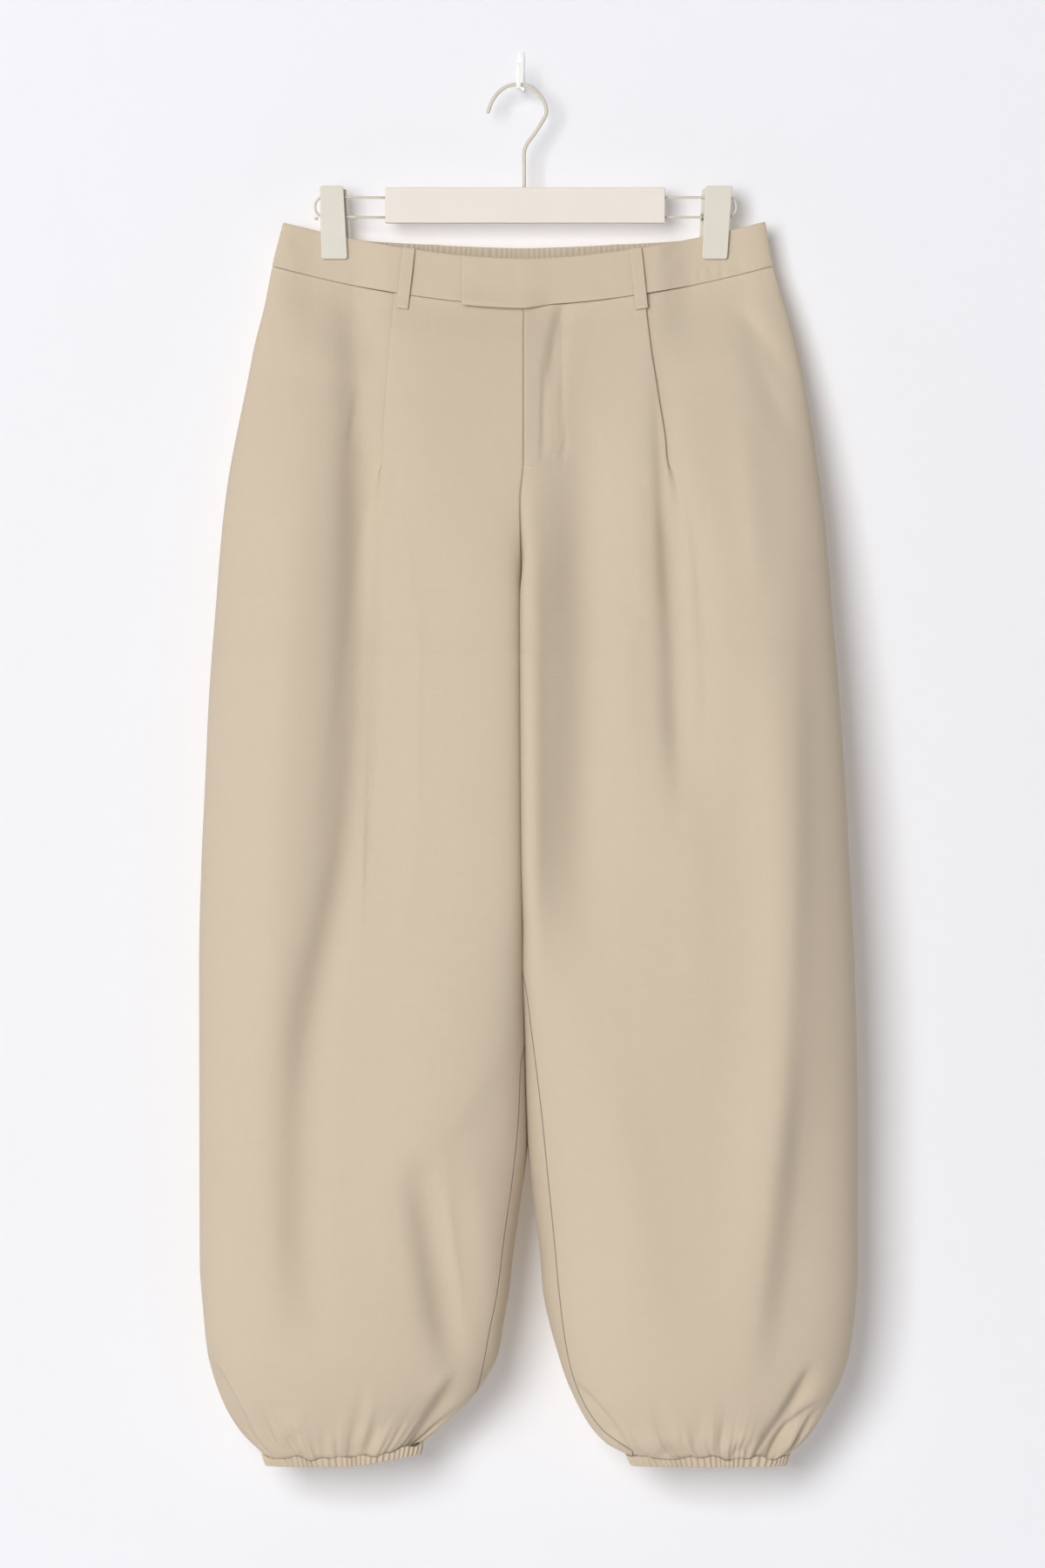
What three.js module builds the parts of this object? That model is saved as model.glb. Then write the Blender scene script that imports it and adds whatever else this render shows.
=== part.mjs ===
// Balloon trousers hanging from a clip hanger on a small wall hook.
// Millimetres. X runs to the wearer's left, Y runs into the wall, Z runs up.
// The origin lies on the wall hook's flat back, so the wall is the plane y = 0.
// "drop" is the distance down from the waist seam at the centre front.
// "reach" is the distance outward from the centre line, on either leg.

import * as THREE from 'three';

const SEAM_Z = -185;
const BAND_HEIGHT = 36.5;
const HEM_DROP = 895;
const CASING_HEIGHT = 10;

const PANEL_WALL = 1.2;
const BAND_WALL = 1.8;
const CASING_WALL = 1.6;
const LOOP_WALL = 1.6;
const FACING_WALL = 1;
const SEAM_GAP = 0.3;

const CLOTH = { color: 0xd0bfaa, roughness: 0.9, metalness: 0 };
const CREAM_BOARD = { color: 0xede4d8, roughness: 0.5, metalness: 0 };
const CREAM_CLIP = { color: 0xe0dcd0, roughness: 0.45, metalness: 0 };
const CREAM_WIRE = { color: 0xd9d2c4, roughness: 0.4, metalness: 0 };
const WHITE_PAINT = { color: 0xf2f2f2, roughness: 0.4, metalness: 0 };

// How far the side outline stands from the centre line, on the wearer's right and left.
const OUTLINE = [
  { drop: -67, right: 187.5, left: 190 },
  { drop: -31, right: 196, left: 196.5 },
  { drop: 0, right: 201.5, left: 205 },
  { drop: 34, right: 209.5, left: 214 },
  { drop: 68, right: 216, left: 221 },
  { drop: 102, right: 223, left: 227 },
  { drop: 136, right: 229.5, left: 232 },
  { drop: 170, right: 234, left: 236.5 },
  { drop: 238, right: 239.5, left: 242 },
  { drop: 306, right: 244.5, left: 247.5 },
  { drop: 374, right: 247.5, left: 252 },
  { drop: 442, right: 250.5, left: 255.5 },
  { drop: 510, right: 252, left: 259 },
  { drop: 646, right: 251.8, left: 261.5 },
  { drop: 748, right: 251.4, left: 261.5 },
  { drop: 782, right: 249, left: 259.5 },
  { drop: 816, right: 245.5, left: 255 },
  { drop: 836, right: 240.5, left: 249 },
  { drop: 850, right: 235.5, left: 242 },
  { drop: 864, right: 229, left: 234 },
  { drop: 877, right: 220.5, left: 226 },
  { drop: 887, right: 211, left: 217 },
  { drop: 895, right: 203, left: 208.5 },
  { drop: 905, right: 200, left: 205.5 },
];

// The x of each leg's inner edge: the centre seam above the crotch, the inner leg below it.
const INNER_EDGE = [
  { drop: -67, right: 0.85, left: 1.15 },
  { drop: 122, right: 0.85, left: 1.15 },
  { drop: 153, right: -1.9, left: -1.6 },
  { drop: 197, right: -0.9, left: -0.6 },
  { drop: 280, right: 0, left: 0.3 },
  { drop: 496, right: 1.2, left: 1.5 },
  { drop: 578, right: 2.5, left: 2.8 },
  { drop: 652, right: 3.8, left: 4.1 },
  { drop: 696, right: -1, left: 8.2 },
  { drop: 739, right: -7, left: 13.6 },
  { drop: 768, right: -10, left: 15.8 },
  { drop: 790, right: -14, left: 20 },
  { drop: 817, right: -18.6, left: 27.5 },
  { drop: 836, right: -27, left: 33.5 },
  { drop: 850, right: -35, left: 39.5 },
  { drop: 864, right: -45, left: 46.5 },
  { drop: 877, right: -57, left: 55 },
  { drop: 887, right: -68, left: 65 },
  { drop: 895, right: -77, left: 80 },
  { drop: 905, right: -79, left: 84.5 },
];

// The plane of the side seams and how far the cloth stands in front of it and behind it.
const DEPTH = [
  { drop: -67, middle: -24, front: 9, back: 9 },
  { drop: 0, middle: -24, front: 11, back: 10 },
  { drop: 34, middle: -27, front: 20, back: 16 },
  { drop: 68, middle: -31, front: 28, back: 22 },
  { drop: 102, middle: -35, front: 34, back: 27.5 },
  { drop: 136, middle: -39, front: 39, back: 32 },
  { drop: 170, middle: -42, front: 43, back: 36 },
  { drop: 238, middle: -47, front: 49, back: 42 },
  { drop: 306, middle: -51, front: 53, back: 46 },
  { drop: 442, middle: -55, front: 57, back: 50 },
  { drop: 578, middle: -57, front: 59, back: 52 },
  { drop: 714, middle: -57, front: 58, back: 51 },
  { drop: 782, middle: -56.5, front: 54, back: 47.5 },
  { drop: 816, middle: -56, front: 50, back: 43 },
  { drop: 850, middle: -56, front: 42, back: 35.5 },
  { drop: 877, middle: -56, front: 31, back: 27 },
  { drop: 895, middle: -56, front: 21, back: 20 },
  { drop: 905, middle: -56, front: 20, back: 19.5 },
];

// How the centre seams sink between the legs: 1 is level with the leg's crown, 0 is the crotch.
// "edge" and "soft" say how square the right and the left leg stand beside that valley.
const VALLEY = [
  { drop: -67, front: 1, back: 1, edge: 2.4, soft: 2.3 },
  { drop: 76, front: 1, back: 1, edge: 3, soft: 2.7 },
  { drop: 102, front: 0.99, back: 0.985, edge: 4, soft: 3.6 },
  { drop: 127, front: 0.965, back: 0.95, edge: 5, soft: 4.5 },
  { drop: 170, front: 0.86, back: 0.87, edge: 6, soft: 6 },
  { drop: 204, front: 0.7, back: 0.76, edge: 8, soft: 8 },
  { drop: 238, front: 0.47, back: 0.56, edge: 9, soft: 9 },
  { drop: 262, front: 0.25, back: 0.32, edge: 9, soft: 9 },
  { drop: 280, front: 0, back: 0, edge: 9, soft: 9 },
  { drop: 440, front: 0, back: 0, edge: 9, soft: 8 },
  { drop: 510, front: 0, back: 0, edge: 6, soft: 5 },
  { drop: 578, front: 0, back: 0, edge: 4, soft: 3.4 },
  { drop: 700, front: 0, back: 0, edge: 2.5, soft: 2.4 },
  { drop: 905, front: 0, back: 0, edge: 2.2, soft: 2.2 },
];

// The knife pleat of each front: the reach of its folded edge, how far the cloth is tucked
// under that edge (below zero the pleat has opened to a slope) and how far the outer cloth
// lies behind it.
const PLEAT = [
  { drop: -67, right: 98, left: 95, tuck: 13, step: 3 },
  { drop: 5, right: 99.6, left: 95.6, tuck: 12, step: 3 },
  { drop: 35, right: 103, left: 98.5, tuck: 9, step: 3 },
  { drop: 79, right: 107.4, left: 105.5, tuck: 6, step: 3 },
  { drop: 114, right: 111, left: 111, tuck: 3, step: 3 },
  { drop: 138, right: 113, left: 113, tuck: -5, step: 3.2 },
  { drop: 170, right: 115.6, left: 114.5, tuck: -9, step: 3.2 },
  { drop: 238, right: 119, left: 117, tuck: -14, step: 2.6 },
  { drop: 374, right: 132.6, left: 124, tuck: -22, step: 1.8 },
  { drop: 510, right: 160, left: 130, tuck: -26, step: 1 },
  { drop: 646, right: 170, left: 134, tuck: -24, step: 0.5 },
  { drop: 823, right: 165, left: 142, tuck: -14, step: 0.3 },
  { drop: 905, right: 150, left: 146, tuck: -9, step: 0.2 },
];

// Large soft folds: three places along each, its half width, and how far it sinks the cloth
// (below zero it raises it).
const FRONT_FOLDS = [
  { leg: 'right', x0: -165, d0: 10, x1: -183, d1: 250, x2: -206, d2: 700, width: 30, sink: -9 },
  { leg: 'right', x0: -130, d0: 18, x1: -127, d1: 305, x2: -171, d2: 640, width: 18, sink: 13 },
  { leg: 'right', x0: -152, d0: 460, x1: -170, d1: 650, x2: -162, d2: 850, width: 19, sink: 8 },
  { leg: 'right', x0: -82, d0: 640, x1: -68, d1: 740, x2: -50, d2: 850, width: 13, sink: 7 },
  { leg: 'right', x0: -64, d0: 650, x1: -50, d1: 730, x2: -34, d2: 830, width: 8, sink: -1.5 },
  { leg: 'left', x0: 46, d0: 40, x1: 52, d1: 300, x2: 38, d2: 560, width: 26, sink: 13 },
  { leg: 'left', x0: 6, d0: 110, x1: 6, d1: 330, x2: 5, d2: 590, width: 10, sink: -3 },
  { leg: 'left', x0: 106, d0: 50, x1: 117, d1: 230, x2: 126, d2: 420, width: 13, sink: 6 },
  { leg: 'left', x0: 160, d0: 5, x1: 184, d1: 60, x2: 212, d2: 130, width: 12, sink: 3 },
  { leg: 'left', x0: 182, d0: 200, x1: 205, d1: 540, x2: 180, d2: 810, width: 22, sink: -7 },
  { leg: 'left', x0: 62, d0: 560, x1: 80, d1: 690, x2: 104, d2: 830, width: 24, sink: -3 },
];
const BACK_FOLDS = [
  { leg: 'right', x0: -96, d0: 60, x1: -112, d1: 300, x2: -120, d2: 560, width: 24, sink: 7 },
  { leg: 'right', x0: -176, d0: 260, x1: -186, d1: 520, x2: -170, d2: 820, width: 24, sink: 7 },
  { leg: 'right', x0: -58, d0: 380, x1: -72, d1: 620, x2: -62, d2: 820, width: 20, sink: 6 },
  { leg: 'left', x0: 88, d0: 50, x1: 104, d1: 260, x2: 124, d2: 480, width: 24, sink: 7 },
  { leg: 'left', x0: 182, d0: 300, x1: 176, d1: 560, x2: 190, d2: 820, width: 24, sink: 7 },
  { leg: 'left', x0: 70, d0: 450, x1: 82, d1: 640, x2: 72, d2: 830, width: 20, sink: 6 },
];

// The waist line: how far it climbs from the centre front to the sides.
const WAIST_RISE = 31;
const WAIST_REACH = 196;
const WAIST_POWER = 1.7;
const RISE_FADE = 190;
const BACK_WAIST_RISE = 9;
const BACK_WAIST_REACH = 125;

// Where the hanger's clips nip the waistband flat.
const CLIP_REACH = 148.5;
const NIP_HALF_WIDTH = 14.5;
const NIP_BLEND = 30;
const NIP_HALF_DEPTH = 1.95;
const NIP_FULL_DROP = -14;
const NIP_END_DROP = 62;

// The right hem rides up at its inner side.
const HEM_LIFT = 9;
const HEM_LIFT_START = 142;
const HEM_LIFT_END = 70;
const HEM_LIFT_HEIGHT = 80;

// The plan's roundness at the side seams, the share of the depth over which folds die out
// there, and the share of a fold's length over which it dies out at each end.
const SIDE_SQUARENESS = 2.35;
const FOLD_SIDE_FADE = 0.6;
const FOLD_TAPER = 0.35;

// Rows of the panels and columns across them.
const LOOP_TAIL = 11.5;
const FLY_FADE_START = 118;
const FLY_FADE_END = 140;
const PANEL_ROWS = [
  0, LOOP_TAIL, 28, 48, 70, 94, FLY_FADE_START, FLY_FADE_END, 165, 195, 228, 262, 280, 325, 380,
  442, 510, 578, 646, 700, 745, 783, 812, 838, 860, 876, 888, HEM_DROP,
];
const COLUMNS_TO_PLEAT = 8;
const COLUMNS_FROM_PLEAT = 10;
const BACK_COLUMNS = 14;
const FRONT_BAND_REACHES = [22, 45, 68, 88, 106, 121, 133.5, 148.5, 163.5];
const FROM_SIDE = [17, 6];
const BAND_ROWS = [-BAND_HEIGHT, NIP_FULL_DROP, 0];
const BACK_BAND_COLUMNS = 52;
const CASING_COLUMNS = 88;

// Gathers: folds that run up from the hem casing, fine ruffles in the casing and the back band.
const HEM_GATHER = 3;
const HEM_GATHER_START = [770, 845, 800, 858, 780, 835, 815, 862, 790];
const SEAT_GATHER = 0.9;
const SEAT_GATHER_END = 90;
const CASING_RUFFLE = 0.8;
const BAND_RUFFLE = 0.7;

// The left front laps over the right one at the fly and at the tab.
const FLY_LAP = 1.5;
const FLY_WIDTH = 31;
const FLY_BOTTOM = 127;
const TAB_END = -47.6;
const TAB_ROOT = -0.5;
const TAB_BLEND = 9;
const LAP_GAP = 0.35;

const HANGER_Y = -24;

const smooth = (from, to, value) => THREE.MathUtils.smoothstep(value, from, to);
const mix = THREE.MathUtils.lerp;

// A smooth curve through one column of a table that never overshoots its rows.
function tableCurve(table, column) {
  const at = table.map((row) => row.drop);
  const value = table.map((row) => row[column]);
  const count = at.length;
  const step = at.slice(1).map((next, i) => next - at[i]);
  const slope = step.map((width, i) => (value[i + 1] - value[i]) / width);
  const tangent = value.map((_, i) => {
    if (i === 0) return slope[0];
    if (i === count - 1) return slope[count - 2];
    if (slope[i - 1] * slope[i] <= 0) return 0;
    const before = 2 * step[i] + step[i - 1];
    const after = step[i] + 2 * step[i - 1];
    return (before + after) / (before / slope[i - 1] + after / slope[i]);
  });
  return (drop) => {
    const d = THREE.MathUtils.clamp(drop, at[0], at[count - 1]);
    const i = Math.min(count - 2, at.findLastIndex((start) => start <= d));
    const t = (d - at[i]) / step[i];
    const rise = value[i + 1] - value[i];
    const curveIn = step[i] * tangent[i];
    const curveOut = step[i] * tangent[i + 1];
    const square = 3 * rise - 2 * curveIn - curveOut;
    const cube = curveIn + curveOut - 2 * rise;
    return value[i] + t * (curveIn + t * (square + t * cube));
  };
}

function curvesOf(table) {
  const columns = Object.keys(table[0]).filter((name) => name !== 'drop');
  return Object.fromEntries(columns.map((name) => [name, tableCurve(table, name)]));
}

const outline = curvesOf(OUTLINE);
const innerEdge = curvesOf(INNER_EDGE);
const depth = curvesOf(DEPTH);
const valley = curvesOf(VALLEY);
const pleat = curvesOf(PLEAT);

const SIGN = { right: -1, left: 1 };

function waistRise(face, reach, drop) {
  const side = WAIST_RISE * Math.abs(reach / WAIST_REACH) ** WAIST_POWER;
  const back = face === 'back' ? BACK_WAIST_RISE * Math.max(0, 1 - (reach / BACK_WAIST_REACH) ** 2) : 0;
  return (side + back) * (1 - smooth(0, RISE_FADE, drop));
}

function hemLift(leg, reach, drop) {
  if (leg === 'left') return 0;
  const inward = 1 - smooth(HEM_LIFT_END, HEM_LIFT_START, reach);
  return HEM_LIFT * inward * smooth(HEM_DROP - HEM_LIFT_HEIGHT, HEM_DROP, drop);
}

function heightAt(leg, face, reach, drop) {
  return SEAM_Z - drop + waistRise(face, reach, drop) + hemLift(leg, reach, drop);
}

function foldSink(folds, leg, x, drop) {
  let sink = 0;
  for (const fold of folds) {
    if (fold.leg !== leg || drop <= fold.d0 || drop >= fold.d2) continue;
    const t = (drop - fold.d0) / (fold.d2 - fold.d0);
    const tm = (fold.d1 - fold.d0) / (fold.d2 - fold.d0);
    const bow = (fold.x1 - mix(fold.x0, fold.x2, tm)) / (tm * (1 - tm));
    const middle = mix(fold.x0, fold.x2, t) + bow * t * (1 - t);
    const along = smooth(0, FOLD_TAPER, t) * (1 - smooth(1 - FOLD_TAPER, 1, t));
    sink += fold.sink * along * Math.exp(-(((x - middle) / fold.width) ** 2));
  }
  return sink;
}

function nipAt(reach, drop) {
  const across = 1 - smooth(NIP_HALF_WIDTH, NIP_HALF_WIDTH + NIP_BLEND, Math.abs(reach - CLIP_REACH));
  return across * (1 - smooth(NIP_FULL_DROP, NIP_END_DROP, drop));
}

// The outline of one half of the body at one drop, on one face, as a list of fine points
// from the centre or inner leg out to the side seam. Its plan is two joined super-ellipses.
const FINE = 260;
function facePlan(leg, face, drop) {
  const sign = SIGN[leg];
  const sideDrop = drop - WAIST_RISE * (1 - smooth(0, RISE_FADE, drop));
  const outer = outline[leg](sideDrop);
  const inner = sign * innerEdge[leg](drop);
  const middle = depth.middle(drop);
  const crown = depth[face](drop);
  const innerPower = 2 / valley[leg === 'right' ? 'edge' : 'soft'](drop);
  const outerPower = 2 / SIDE_SQUARENESS;
  const sink = THREE.MathUtils.clamp(valley[face](drop), 0, 1);
  const startSine = sink ** (1 / innerPower);
  const startCosine = Math.sqrt(Math.max(0, 1 - startSine ** 2));
  const radius = (outer - inner) / (1 + startCosine ** innerPower);
  const centre = outer - radius;
  const start = Math.asin(Math.min(1, startSine));
  const forward = face === 'front' ? -1 : 1;
  const folds = face === 'front' ? FRONT_FOLDS : BACK_FOLDS;
  const points = [];
  for (let i = 0; i <= FINE; i += 1) {
    const angle = mix(start, Math.PI, i / FINE);
    const cosine = Math.cos(angle);
    const power = cosine > 0 ? innerPower : outerPower;
    const reach = centre - radius * Math.sign(cosine) * Math.abs(cosine) ** power;
    let out = crown * Math.max(0, Math.sin(angle)) ** power;
    const edgeFade = Math.min(1, out / (FOLD_SIDE_FADE * crown));
    out -= foldSink(folds, leg, sign * reach, drop) * edgeFade;
    if (face === 'front' && leg === 'left') out += flyLap(reach, drop);
    out = mix(out, Math.min(out, NIP_HALF_DEPTH), nipAt(reach, drop));
    points.push({ reach, out, x: sign * reach, y: middle + forward * out });
  }
  return { points, forward, sign, closed: sink === 0 };
}

// The left front stands proud over the fly's width, from the waist seam to the fly's end.
function flyLap(reach, drop) {
  const begin = THREE.MathUtils.clamp(drop / LOOP_TAIL, 0, 1);
  const finish = THREE.MathUtils.clamp((FLY_FADE_END - drop) / (FLY_FADE_END - FLY_FADE_START), 0, 1);
  return FLY_LAP * begin * finish * (1 - smooth(0, FLY_WIDTH, reach));
}

// A point at a given length along fine points, with its outward normal in plan.
function stationAt(plan, lengths, length) {
  const last = lengths.length - 1;
  const at = THREE.MathUtils.clamp(length, 0, lengths[last]);
  const i = Math.min(last - 1, lengths.findLastIndex((start) => start <= at));
  const t = (at - lengths[i]) / Math.max(1e-9, lengths[i + 1] - lengths[i]);
  const a = plan.points[i];
  const b = plan.points[i + 1];
  const size = Math.hypot(b.x - a.x, b.y - a.y) || 1;
  const tangent = { x: (b.x - a.x) / size, y: (b.y - a.y) / size };
  const turn = plan.forward * plan.sign;
  const station = {
    x: mix(a.x, b.x, t),
    y: mix(a.y, b.y, t),
    reach: mix(a.reach, b.reach, t),
    tangent,
    normal: { x: -turn * tangent.y, y: turn * tangent.x },
  };
  // At a seam where the front runs round into the back the wall stands square to the seam.
  if (at > lengths[last] - SEAM_GAP) station.normal = { x: plan.sign, y: 0 };
  if (at < SEAM_GAP && plan.closed) station.normal = { x: -plan.sign, y: 0 };
  return station;
}

function lengthsOf(points) {
  const lengths = [0];
  for (let i = 1; i < points.length; i += 1) {
    const step = Math.hypot(points[i].x - points[i - 1].x, points[i].y - points[i - 1].y);
    lengths.push(lengths[i - 1] + step);
  }
  return lengths;
}

function lengthAtReach(plan, lengths, reach) {
  const i = plan.points.findIndex((point) => point.reach >= reach);
  if (i <= 0) return i === 0 ? 0 : lengths[lengths.length - 1];
  const a = plan.points[i - 1];
  const b = plan.points[i];
  return mix(lengths[i - 1], lengths[i], (reach - a.reach) / (b.reach - a.reach));
}

// The ends of a panel stand half a seam gap back from the seam.
function trimmed(lengths) {
  return { from: SEAM_GAP / 2, to: lengths[lengths.length - 1] - SEAM_GAP / 2 };
}

function moveStation(station, along, outward) {
  return {
    x: station.x + along * station.tangent.x + outward * station.normal.x,
    y: station.y + along * station.tangent.y + outward * station.normal.y,
  };
}

// The three layers of a knife pleat, or the slope it opens to, as four stations. Beyond the
// pleat the cloth comes back to the plan.
const PLEAT_AIR = 0.2;
const PLEAT_FADE = 75;
function pleatStations(plan, lengths, fold, tuck, step) {
  const station = stationAt(plan, lengths, fold);
  const { tangent, normal } = station;
  const both = (a, b) => ({ x: a * tangent.x + b * normal.x, y: a * tangent.y + b * normal.y });
  if (tuck > 0) {
    const layer = 2 * PANEL_WALL + PLEAT_AIR;
    const shape = [[0, 0, 1, 1], [0, -layer, 1, -1], [-tuck, -layer, 1, -1], [-tuck, -step, 1, 1]];
    return shape.map(([along, outward, a, b]) => ({
      ...station, ...moveStation(station, along, outward), normal: both(a, b),
    }));
  }
  return [0, 1 / 3, 2 / 3, 1].map((part) => {
    const open = stationAt(plan, lengths, fold - tuck * part);
    return { ...open, ...moveStation(open, 0, -step * smooth(0, 1, part)) };
  });
}

function frontRow(leg, drop) {
  const plan = facePlan(leg, 'front', drop);
  const lengths = lengthsOf(plan.points);
  const { from, to } = trimmed(lengths);
  const fold = lengthAtReach(plan, lengths, pleat[leg](drop));
  const tuck = pleat.tuck(drop);
  const step = pleat.step(drop);
  const row = [];
  for (let i = 0; i < COLUMNS_TO_PLEAT; i += 1) {
    row.push(stationAt(plan, lengths, mix(from, fold, i / COLUMNS_TO_PLEAT)));
  }
  row.push(...pleatStations(plan, lengths, fold, tuck, step));
  const rest = fold + Math.max(0, -tuck);
  for (let i = 1; i <= COLUMNS_FROM_PLEAT; i += 1) {
    const length = mix(rest, to, i / COLUMNS_FROM_PLEAT);
    const station = stationAt(plan, lengths, length);
    const lowered = step * (1 - smooth(0, PLEAT_FADE, length - rest));
    row.push({ ...station, ...moveStation(station, 0, -lowered) });
  }
  return row;
}

function backRow(leg, drop) {
  const plan = facePlan(leg, 'back', drop);
  const lengths = lengthsOf(plan.points);
  const { from, to } = trimmed(lengths);
  return Array.from({ length: BACK_COLUMNS + 1 }, (_, i) => (
    stationAt(plan, lengths, mix(from, to, i / BACK_COLUMNS))
  ));
}

// Every second column rises and falls beside the hem casing, and at the back's waist seam.
// The pleat's four stations rise and fall as one column.
function gather(row, face, drop) {
  return row.map((station, i) => {
    if (i === 0 || i === row.length - 1) return station;
    const pleated = face === 'front' && i > COLUMNS_TO_PLEAT;
    const column = pleated ? Math.max(COLUMNS_TO_PLEAT, i - 3) : i;
    const start = HEM_GATHER_START[column % HEM_GATHER_START.length];
    const side = column % 2 ? 1 : -1;
    let outward = side * HEM_GATHER * smooth(start, HEM_DROP, drop);
    if (face === 'back') outward += side * SEAT_GATHER * (1 - smooth(0, SEAT_GATHER_END, drop));
    return { ...station, ...moveStation(station, 0, outward) };
  });
}

function toPoint(leg, face, station, drop) {
  const reach = SIGN[leg] * station.x;
  return new THREE.Vector3(station.x, station.y, heightAt(leg, face, reach, drop));
}

// The inside of a wall: each outer point moved inward in plan, further where the cloth slopes.
const MOST_SLOPE = 2.2;
function innerRows(outer, normals, thickness) {
  return outer.map((row, j) => row.map((point, i) => {
    const above = outer[Math.max(0, j - 1)][i];
    const below = outer[Math.min(outer.length - 1, j + 1)][i];
    const normal = normals[j][i];
    const run = (below.x - above.x) * normal.x + (below.y - above.y) * normal.y;
    const fall = Math.abs(below.z - above.z) || 1;
    const size = Math.hypot(normal.x, normal.y);
    const stretch = Math.min(MOST_SLOPE, Math.hypot(1, run / size / fall));
    const move = thickness * stretch;
    return new THREE.Vector3(point.x - move * normal.x, point.y - move * normal.y, point.z);
  }));
}

// A closed wall between an outer and an inner grid of points. A ring joins its last column
// to its first.
function wallGeometry(outer, inner, ring = false) {
  const rows = outer.length;
  const columns = outer[0].length;
  const positions = [...outer.flat(), ...inner.flat()].flatMap((point) => point.toArray());
  const outside = (j, i) => j * columns + (i % columns);
  const inside = (j, i) => rows * columns + outside(j, i);
  const index = [];
  const quad = (a, b, c, d) => index.push(a, b, c, a, c, d);
  const spans = ring ? columns : columns - 1;
  for (let i = 0; i < spans; i += 1) {
    for (let j = 0; j < rows - 1; j += 1) {
      quad(outside(j, i), outside(j, i + 1), outside(j + 1, i + 1), outside(j + 1, i));
      quad(inside(j, i), inside(j + 1, i), inside(j + 1, i + 1), inside(j, i + 1));
    }
    quad(outside(0, i + 1), outside(0, i), inside(0, i), inside(0, i + 1));
    quad(outside(rows - 1, i), outside(rows - 1, i + 1), inside(rows - 1, i + 1), inside(rows - 1, i));
  }
  if (!ring) {
    const end = columns - 1;
    for (let j = 0; j < rows - 1; j += 1) {
      quad(outside(j, 0), outside(j + 1, 0), inside(j + 1, 0), inside(j, 0));
      quad(outside(j + 1, end), outside(j, end), inside(j, end), inside(j + 1, end));
    }
  }
  return facingOut(positions, index);
}

function facingOut(positions, index) {
  const corner = (k) => new THREE.Vector3().fromArray(positions, 3 * index[k]);
  let volume = 0;
  for (let k = 0; k < index.length; k += 3) {
    volume += corner(k).dot(corner(k + 1).cross(corner(k + 2)));
  }
  if (volume < 0) index.reverse();
  const geometry = new THREE.BufferGeometry();
  geometry.setAttribute('position', new THREE.Float32BufferAttribute(positions, 3));
  geometry.setIndex(index);
  geometry.computeVertexNormals();
  return geometry;
}

// A layer that lies on the body: its two faces are the same stations, moved out or in.
function layerOver(leg, face, rows, drops, near, far) {
  const [inner, outer] = [near, far].map((outward) => rows.map((row, j) => row.map((station) => (
    toPoint(leg, face, moveStation(station, 0, outward), drops[j])
  ))));
  return wallGeometry(outer, inner);
}

// A wall from rows of stations and the drops they stand at.
function wallOfRows(leg, face, rows, drops, thickness, ring = false) {
  const outer = rows.map((row, j) => row.map((station) => (
    toPoint(station.leg ?? leg, station.face ?? face, station, drops[j])
  )));
  const normals = rows.map((row) => row.map((station) => station.normal));
  return wallGeometry(outer, innerRows(outer, normals, thickness), ring);
}

const object = new THREE.Group();

function add(name, geometry, finish) {
  const mesh = new THREE.Mesh(geometry, new THREE.MeshStandardMaterial(finish));
  mesh.name = name;
  object.add(mesh);
  return mesh;
}

// Leg panels. Their first and last rows stand a seam gap from the waistband and the casing.
const panelDrops = PANEL_ROWS.map((drop, j) => {
  if (j === 0) return SEAM_GAP;
  return j === PANEL_ROWS.length - 1 ? drop - SEAM_GAP : drop;
});
for (const leg of ['right', 'left']) {
  const front = panelDrops.map((drop) => gather(frontRow(leg, drop), 'front', drop));
  add(`front_${leg}`, wallOfRows(leg, 'front', front, panelDrops, PANEL_WALL), CLOTH);
  const back = panelDrops.map((drop) => gather(backRow(leg, drop), 'back', drop));
  add(`back_${leg}`, wallOfRows(leg, 'back', back, panelDrops, PANEL_WALL), CLOTH);
}

// One station on the front of the body, found by its x.
function stationAtX(leg, face, x, drop) {
  const plan = facePlan(leg, face, drop);
  const lengths = lengthsOf(plan.points);
  return stationAt(plan, lengths, lengthAtReach(plan, lengths, Math.abs(x)));
}

// Front waistbands, from the centre or the tab's end out to the side seams.
function bandRow(leg, face, reaches, drop) {
  const plan = facePlan(leg, face, drop);
  const lengths = lengthsOf(plan.points);
  const { from, to } = trimmed(lengths);
  const side = plan.points[FINE].reach;
  const all = [...reaches, ...FROM_SIDE.map((inward) => side - inward)];
  const places = [from, ...all.map((reach) => lengthAtReach(plan, lengths, reach)), to];
  return places.map((length) => ({ ...stationAt(plan, lengths, length), leg, face }));
}

const rightBand = BAND_ROWS.map((drop) => bandRow('right', 'front', FRONT_BAND_REACHES, drop));
add(
  'waistband_front_right',
  wallOfRows('right', 'front', rightBand, BAND_ROWS, BAND_WALL),
  CLOTH,
);

function tabRow(drop) {
  const outward = BAND_WALL + LAP_GAP;
  return [0, 1 / 3, 2 / 3, 1].map((part) => {
    const station = stationAtX('right', 'front', mix(TAB_END, TAB_ROOT, part), drop);
    return { ...station, ...moveStation(station, 0, outward), leg: 'right' };
  });
}
const leftBand = BAND_ROWS.map((drop) => {
  const row = bandRow('left', 'front', [TAB_BLEND, ...FRONT_BAND_REACHES], drop);
  return [...tabRow(drop), ...row.slice(1)];
});
const leftBandGeometry = wallOfRows('left', 'front', leftBand, BAND_ROWS, BAND_WALL);
add('waistband_front_left', leftBandGeometry, CLOTH);

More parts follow.
